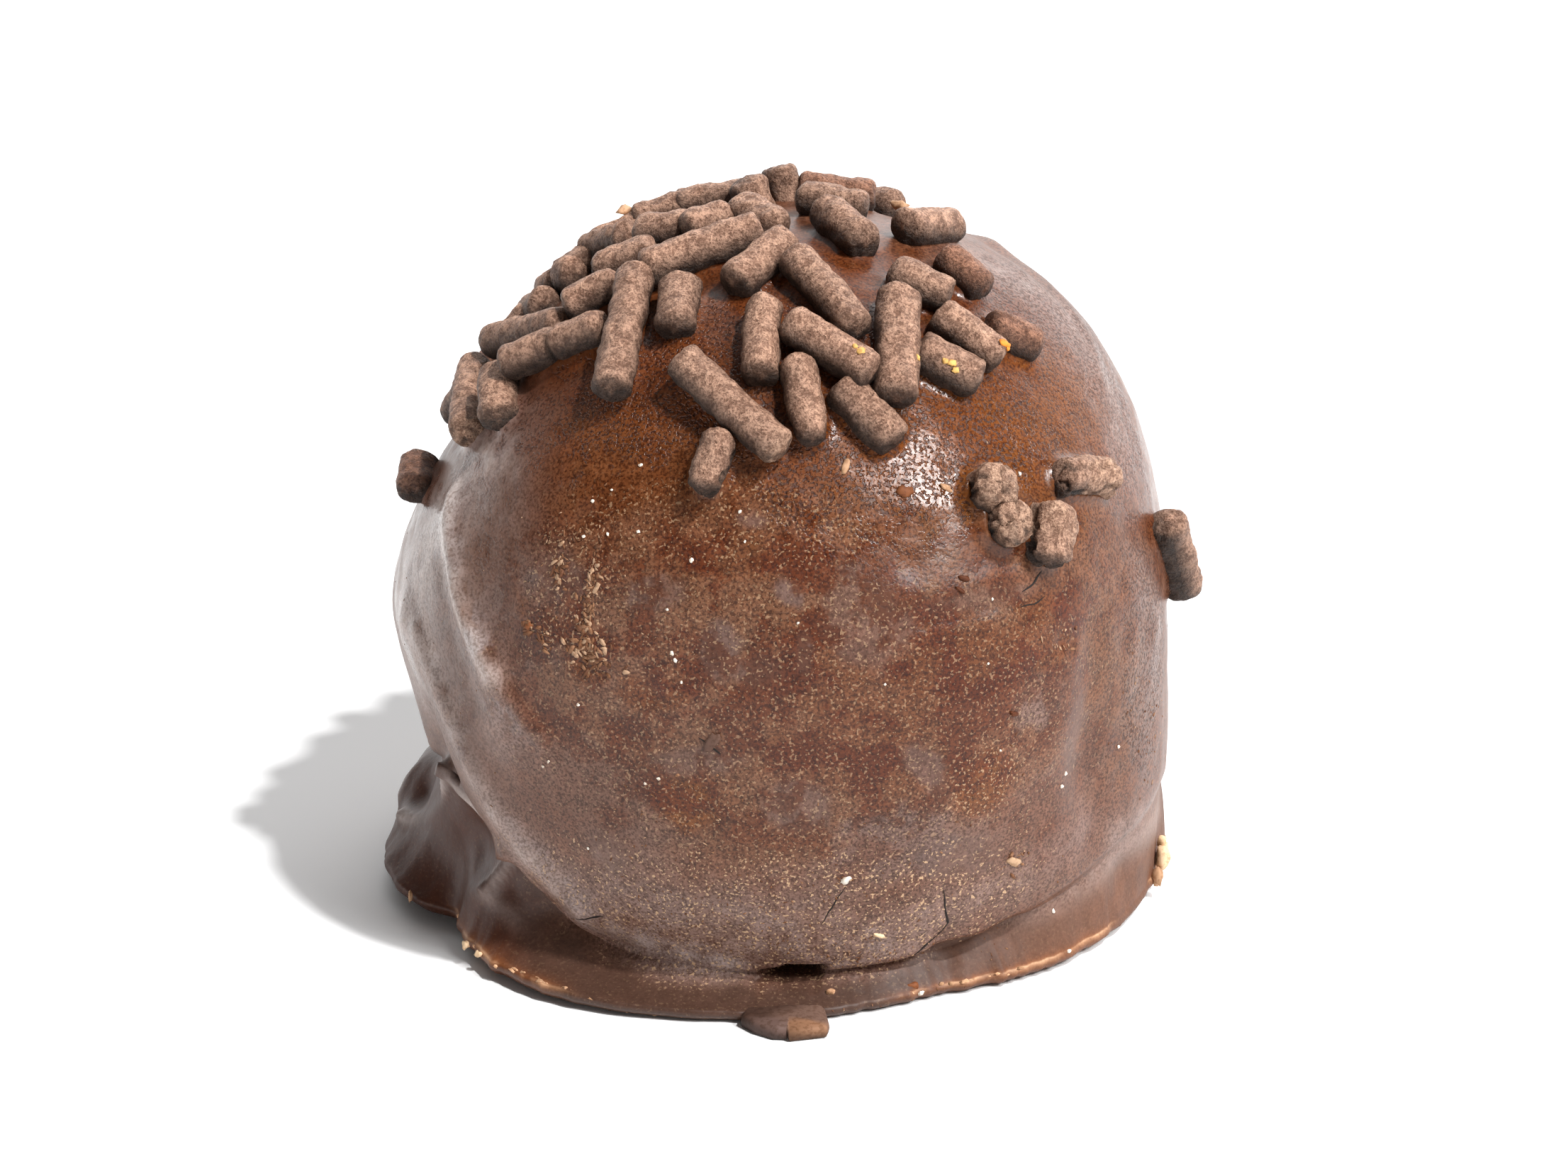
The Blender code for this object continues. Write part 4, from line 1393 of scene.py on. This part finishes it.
def coat_material():
    """Set chocolate: soft sheen, fine orange-peel grain speckled with painted glints, pits with painted
    shade, pale dust.
    """
    material, tree, shader, place, tone = new_material("coat", 0.4, 0.32)
    layers = ("dust", "grain", "gloss", "grit_and_glints", "mottle")
    dust, grain, gloss, grit_and_glints, mottle = (value_layer(tree, name) for name in layers)
    fine = grain_noise(tree, place, 8.0, 2.0, 0.6)
    coarse = grain_noise(tree, place, 1.3, 3.0)
    pits = ramp(tree, grain_noise(tree, place, 6.5, 1.0, 0.4), 0.50, 0.38)
    torn = grain_noise(tree, place, 0.42, 6.0, 0.62)
    bare = tinted(tree, tone, BARE_TINT)
    bloomed = tinted(tree, tone, BLOOM_TINT)
    blotched = mixed(tree, bare, bloomed, ramp(tree, torn, 0.455, 0.535))
    tone = mixed(tree, tone, blotched, mottle)
    # speckle of dark grain and painted glints of the fine bumps
    darker = tinted(tree, tone, GRAIN_AND_PIT_SHADE)
    lighter = tinted(tree, tone, PAINTED_GLINTS)
    speckled = mixed(tree, darker, lighter, ramp(tree, fine, 0.36, 0.58))
    colour = mixed(tree, tone, speckled, grit_and_glints)
    # painted shade in the pits
    pitted = tinted(tree, colour, GRAIN_AND_PIT_SHADE)
    pitting = maths(tree, "MULTIPLY", pits, maths(tree, "ADD", grain, 0.20))
    colour = mixed(tree, colour, pitted, pitting)
    colour = tinted(tree, colour, PALE_LUMPS, ramp(tree, coarse, 0.4, 0.75))
    fleck = ramp(tree, grain_noise(tree, place, 7.0, 1.0), 0.60, 0.68)
    dusty = maths(tree, "ADD", maths(tree, "MULTIPLY", dust, 0.85), 0.05)
    colour = mixed(tree, colour, SPECK, maths(tree, "MULTIPLY", fleck, dusty))
    tree.links.new(colour, shader.inputs["Base Color"])
    rough = maths(tree, "ADD", maths(tree, "MULTIPLY", coarse, 0.14), 0.33)
    rough = maths(tree, "SUBTRACT", rough, maths(tree, "MULTIPLY", gloss, 0.17))
    deep = maths(tree, "MULTIPLY", grain, grain)
    rough = maths(tree, "ADD", rough, maths(tree, "MULTIPLY", pits, maths(tree, "MULTIPLY", deep, 0.3)))
    tree.links.new(rough, shader.inputs["Roughness"])
    normal = bump(tree, maths(tree, "SUBTRACT", 1.0, pits), deep, 0.08)
    normal = bump(tree, coarse, 0.18, 0.25, normal)
    tree.links.new(normal, shader.inputs["Normal"])
    return material


def sprinkle_material():
    """Dull sprinkles, mottled with pale dust and dark pinholes."""
    material, tree, shader, place, tone = new_material("sprinkle", 0.55, 0.35)
    fine = grain_noise(tree, place, 9.0, 3.0, 0.7)
    broad = grain_noise(tree, place, 2.4, 5.0, 0.7)
    pale = tinted(tree, tone, SPRINKLE_DUST)
    dust = ramp(tree, maths(tree, "ADD", maths(tree, "MULTIPLY", broad, 1.2), fine), 0.92, 1.34)
    colour = mixed(tree, tone, pale, dust)
    colour = tinted(tree, colour, PINHOLES, ramp(tree, fine, 0.38, 0.28))
    tree.links.new(colour, shader.inputs["Base Color"])
    normal = bump(tree, fine, 0.9, 0.16)
    normal = bump(tree, broad, 0.8, 0.35, normal)
    tree.links.new(normal, shader.inputs["Normal"])
    return material


def crumb_material():
    """Broken chocolate and crumbs."""
    material, tree, shader, place, tone = new_material("crumb", 0.7, 0.3)
    fine = grain_noise(tree, place, 5.0)
    colour = tinted(tree, tone, CRUMB_HOLLOWS, ramp(tree, fine, 0.55, 0.35))
    tree.links.new(colour, shader.inputs["Base Color"])
    return material


def make_chip(heap):
    """The chip of chocolate that lies at the foot's front, with painted shade low on its sides."""
    outline = np.array(CHIP_OUTLINE)
    count = len(outline)
    middle = outline.mean(axis=0)
    verts, shades = [], []
    for height, share in CHIP_LAYERS:
        for (x, y), tone in zip(middle + share * (outline - middle), CHIP_TONES):
            verts.append((x, y, height + 0.04 * noise.noise((x, y, height))))
            # painted shade: darker toward the table
            shades.append(np.array(tone) * (0.35 + 0.65 * min(1, height / 0.5)))
    verts.append((*middle, CHIP_TOP))
    shades.append(np.array(CHIP))
    faces = []
    top = (len(CHIP_LAYERS) - 1) * count
    for first in range(0, top, count):
        for j in range(count):
            k = (j + 1) % count
            faces.append((first + j, first + k, first + count + k, first + count + j))
    faces += [(top + j, top + (j + 1) % count, len(verts) - 1) for j in range(count)]
    faces.append(tuple(reversed(range(count))))
    heap.add(np.array(verts), faces, np.array(shades))


def add_lamp(name, bearing, elevation, strength, angle):
    """A far lamp at a bearing and elevation."""
    lamp = bpy.data.lights.new(name, "SUN")
    lamp.energy = strength
    lamp.angle = np.radians(angle)
    holder = bpy.data.objects.new(name, lamp)
    way = Vector(direction(bearing, elevation))
    holder.rotation_euler = way.to_track_quat("Z", "Y").to_euler()
    bpy.context.scene.collection.objects.link(holder)


def make_stage():
    """Pale floor, three far lamps high at the front right, and white light from low all
    round and from behind."""
    bpy.ops.mesh.primitive_plane_add(size=FLOOR_SIZE, location=(0, 0, -FLOOR_DROP))
    floor = bpy.context.object
    floor.name = "floor"
    paper = bpy.data.materials.new("paper")
    paper.use_nodes = True
    shader = paper.node_tree.nodes["Principled BSDF"]
    shader.inputs["Base Color"].default_value = (PAPER, PAPER, PAPER, 1.0)
    shader.inputs["Roughness"].default_value = PAPER_ROUGHNESS
    shader.inputs["Specular IOR Level"].default_value = 0.0
    floor.data.materials.append(paper)
    for lamp in LAMPS:
        add_lamp(*lamp)
    world = bpy.data.worlds.new("studio")
    world.use_nodes = True
    tree = world.node_tree
    way = node(tree, "ShaderNodeTexCoord")
    split = node(tree, "ShaderNodeSeparateXYZ")
    tree.links.new(way.outputs["Generated"], split.inputs[0])
    back = node(tree, "ShaderNodeMapRange")
    for name, value in zip(("From Min", "From Max", "To Min", "To Max"), (*SKY_TURN, *SKY_STRENGTHS)):
        back.inputs[name].default_value = value
    tree.links.new(split.outputs["Y"], back.inputs["Value"])
    high = ramp(tree, split.outputs["Z"], *HORIZON)
    aside = maths(tree, "MULTIPLY", ramp(tree, split.outputs["X"], *SKY_SIDE), 1 - SKY_LEFT)
    above = maths(tree, "MULTIPLY", back.outputs["Result"], maths(tree, "ADD", aside, SKY_LEFT))
    above = maths(tree, "MULTIPLY", above, high)
    level = maths(tree, "SUBTRACT", HORIZON_STRENGTH, maths(tree, "MULTIPLY", high, HORIZON_STRENGTH))
    strength = maths(tree, "ADD", above, level)
    tree.links.new(strength, tree.nodes["Background"].inputs["Strength"])
    tree.nodes["Background"].inputs["Color"].default_value = (1.0, 1.0, 1.0, 1.0)
    bpy.context.scene.world = world
    bpy.context.scene.view_settings.view_transform = "Standard"


def make_camera():
    """The camera, looking slightly down on the ball's front."""
    back = Vector(direction(0, CAMERA_ELEVATION))
    right = Vector((1, 0, 0))
    up = back.cross(right)
    data = bpy.data.cameras.new("camera")
    data.lens = CAMERA_LENS
    data.sensor_width = 36
    data.clip_start = 0.01
    camera = bpy.data.objects.new("camera", data)
    aim = Vector(to_row(BALL_CENTRE)) + up * AIM_RISE * MM
    turn = Matrix((right, up, back)).transposed().to_4x4()
    camera.matrix_world = Matrix.Translation(aim + back * CAMERA_DISTANCE * MM) @ turn
    bpy.context.scene.collection.objects.link(camera)
    bpy.context.scene.camera = camera


def main():
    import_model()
    rng = np.random.default_rng(21)
    make_camera()
    make_stage()

    sprinkles = gather_sprinkles(rng)
    skin = make_skin(sprinkles)
    skin.data.materials.append(coat_material())
    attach(skin, "root")
    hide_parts("cake_ball")
    surface = Surface(skin)

    heap = Heap()
    for sprinkle in sprinkles:
        add_sprinkle(heap, sprinkle, rng)
    rods = heap.to_object("sprinkles")
    rods.data.materials.append(sprinkle_material())
    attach(rods, "root")

    heap = Heap()
    coarse, fine = crumb_shapes()
    scatter_crumbs(heap, coarse, fine, surface, rng)
    rim_crumbs(heap, fine, rng)
    foot_chunks(heap, fine, rng)
    sprinkle_flecks(heap, fine, Surface(rods), rng)
    make_cracks(heap, surface)
    make_chip(heap)
    crumbs = heap.to_object("crumbs")
    crumbs.data.materials.append(crumb_material())
    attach(crumbs, "root")


main()
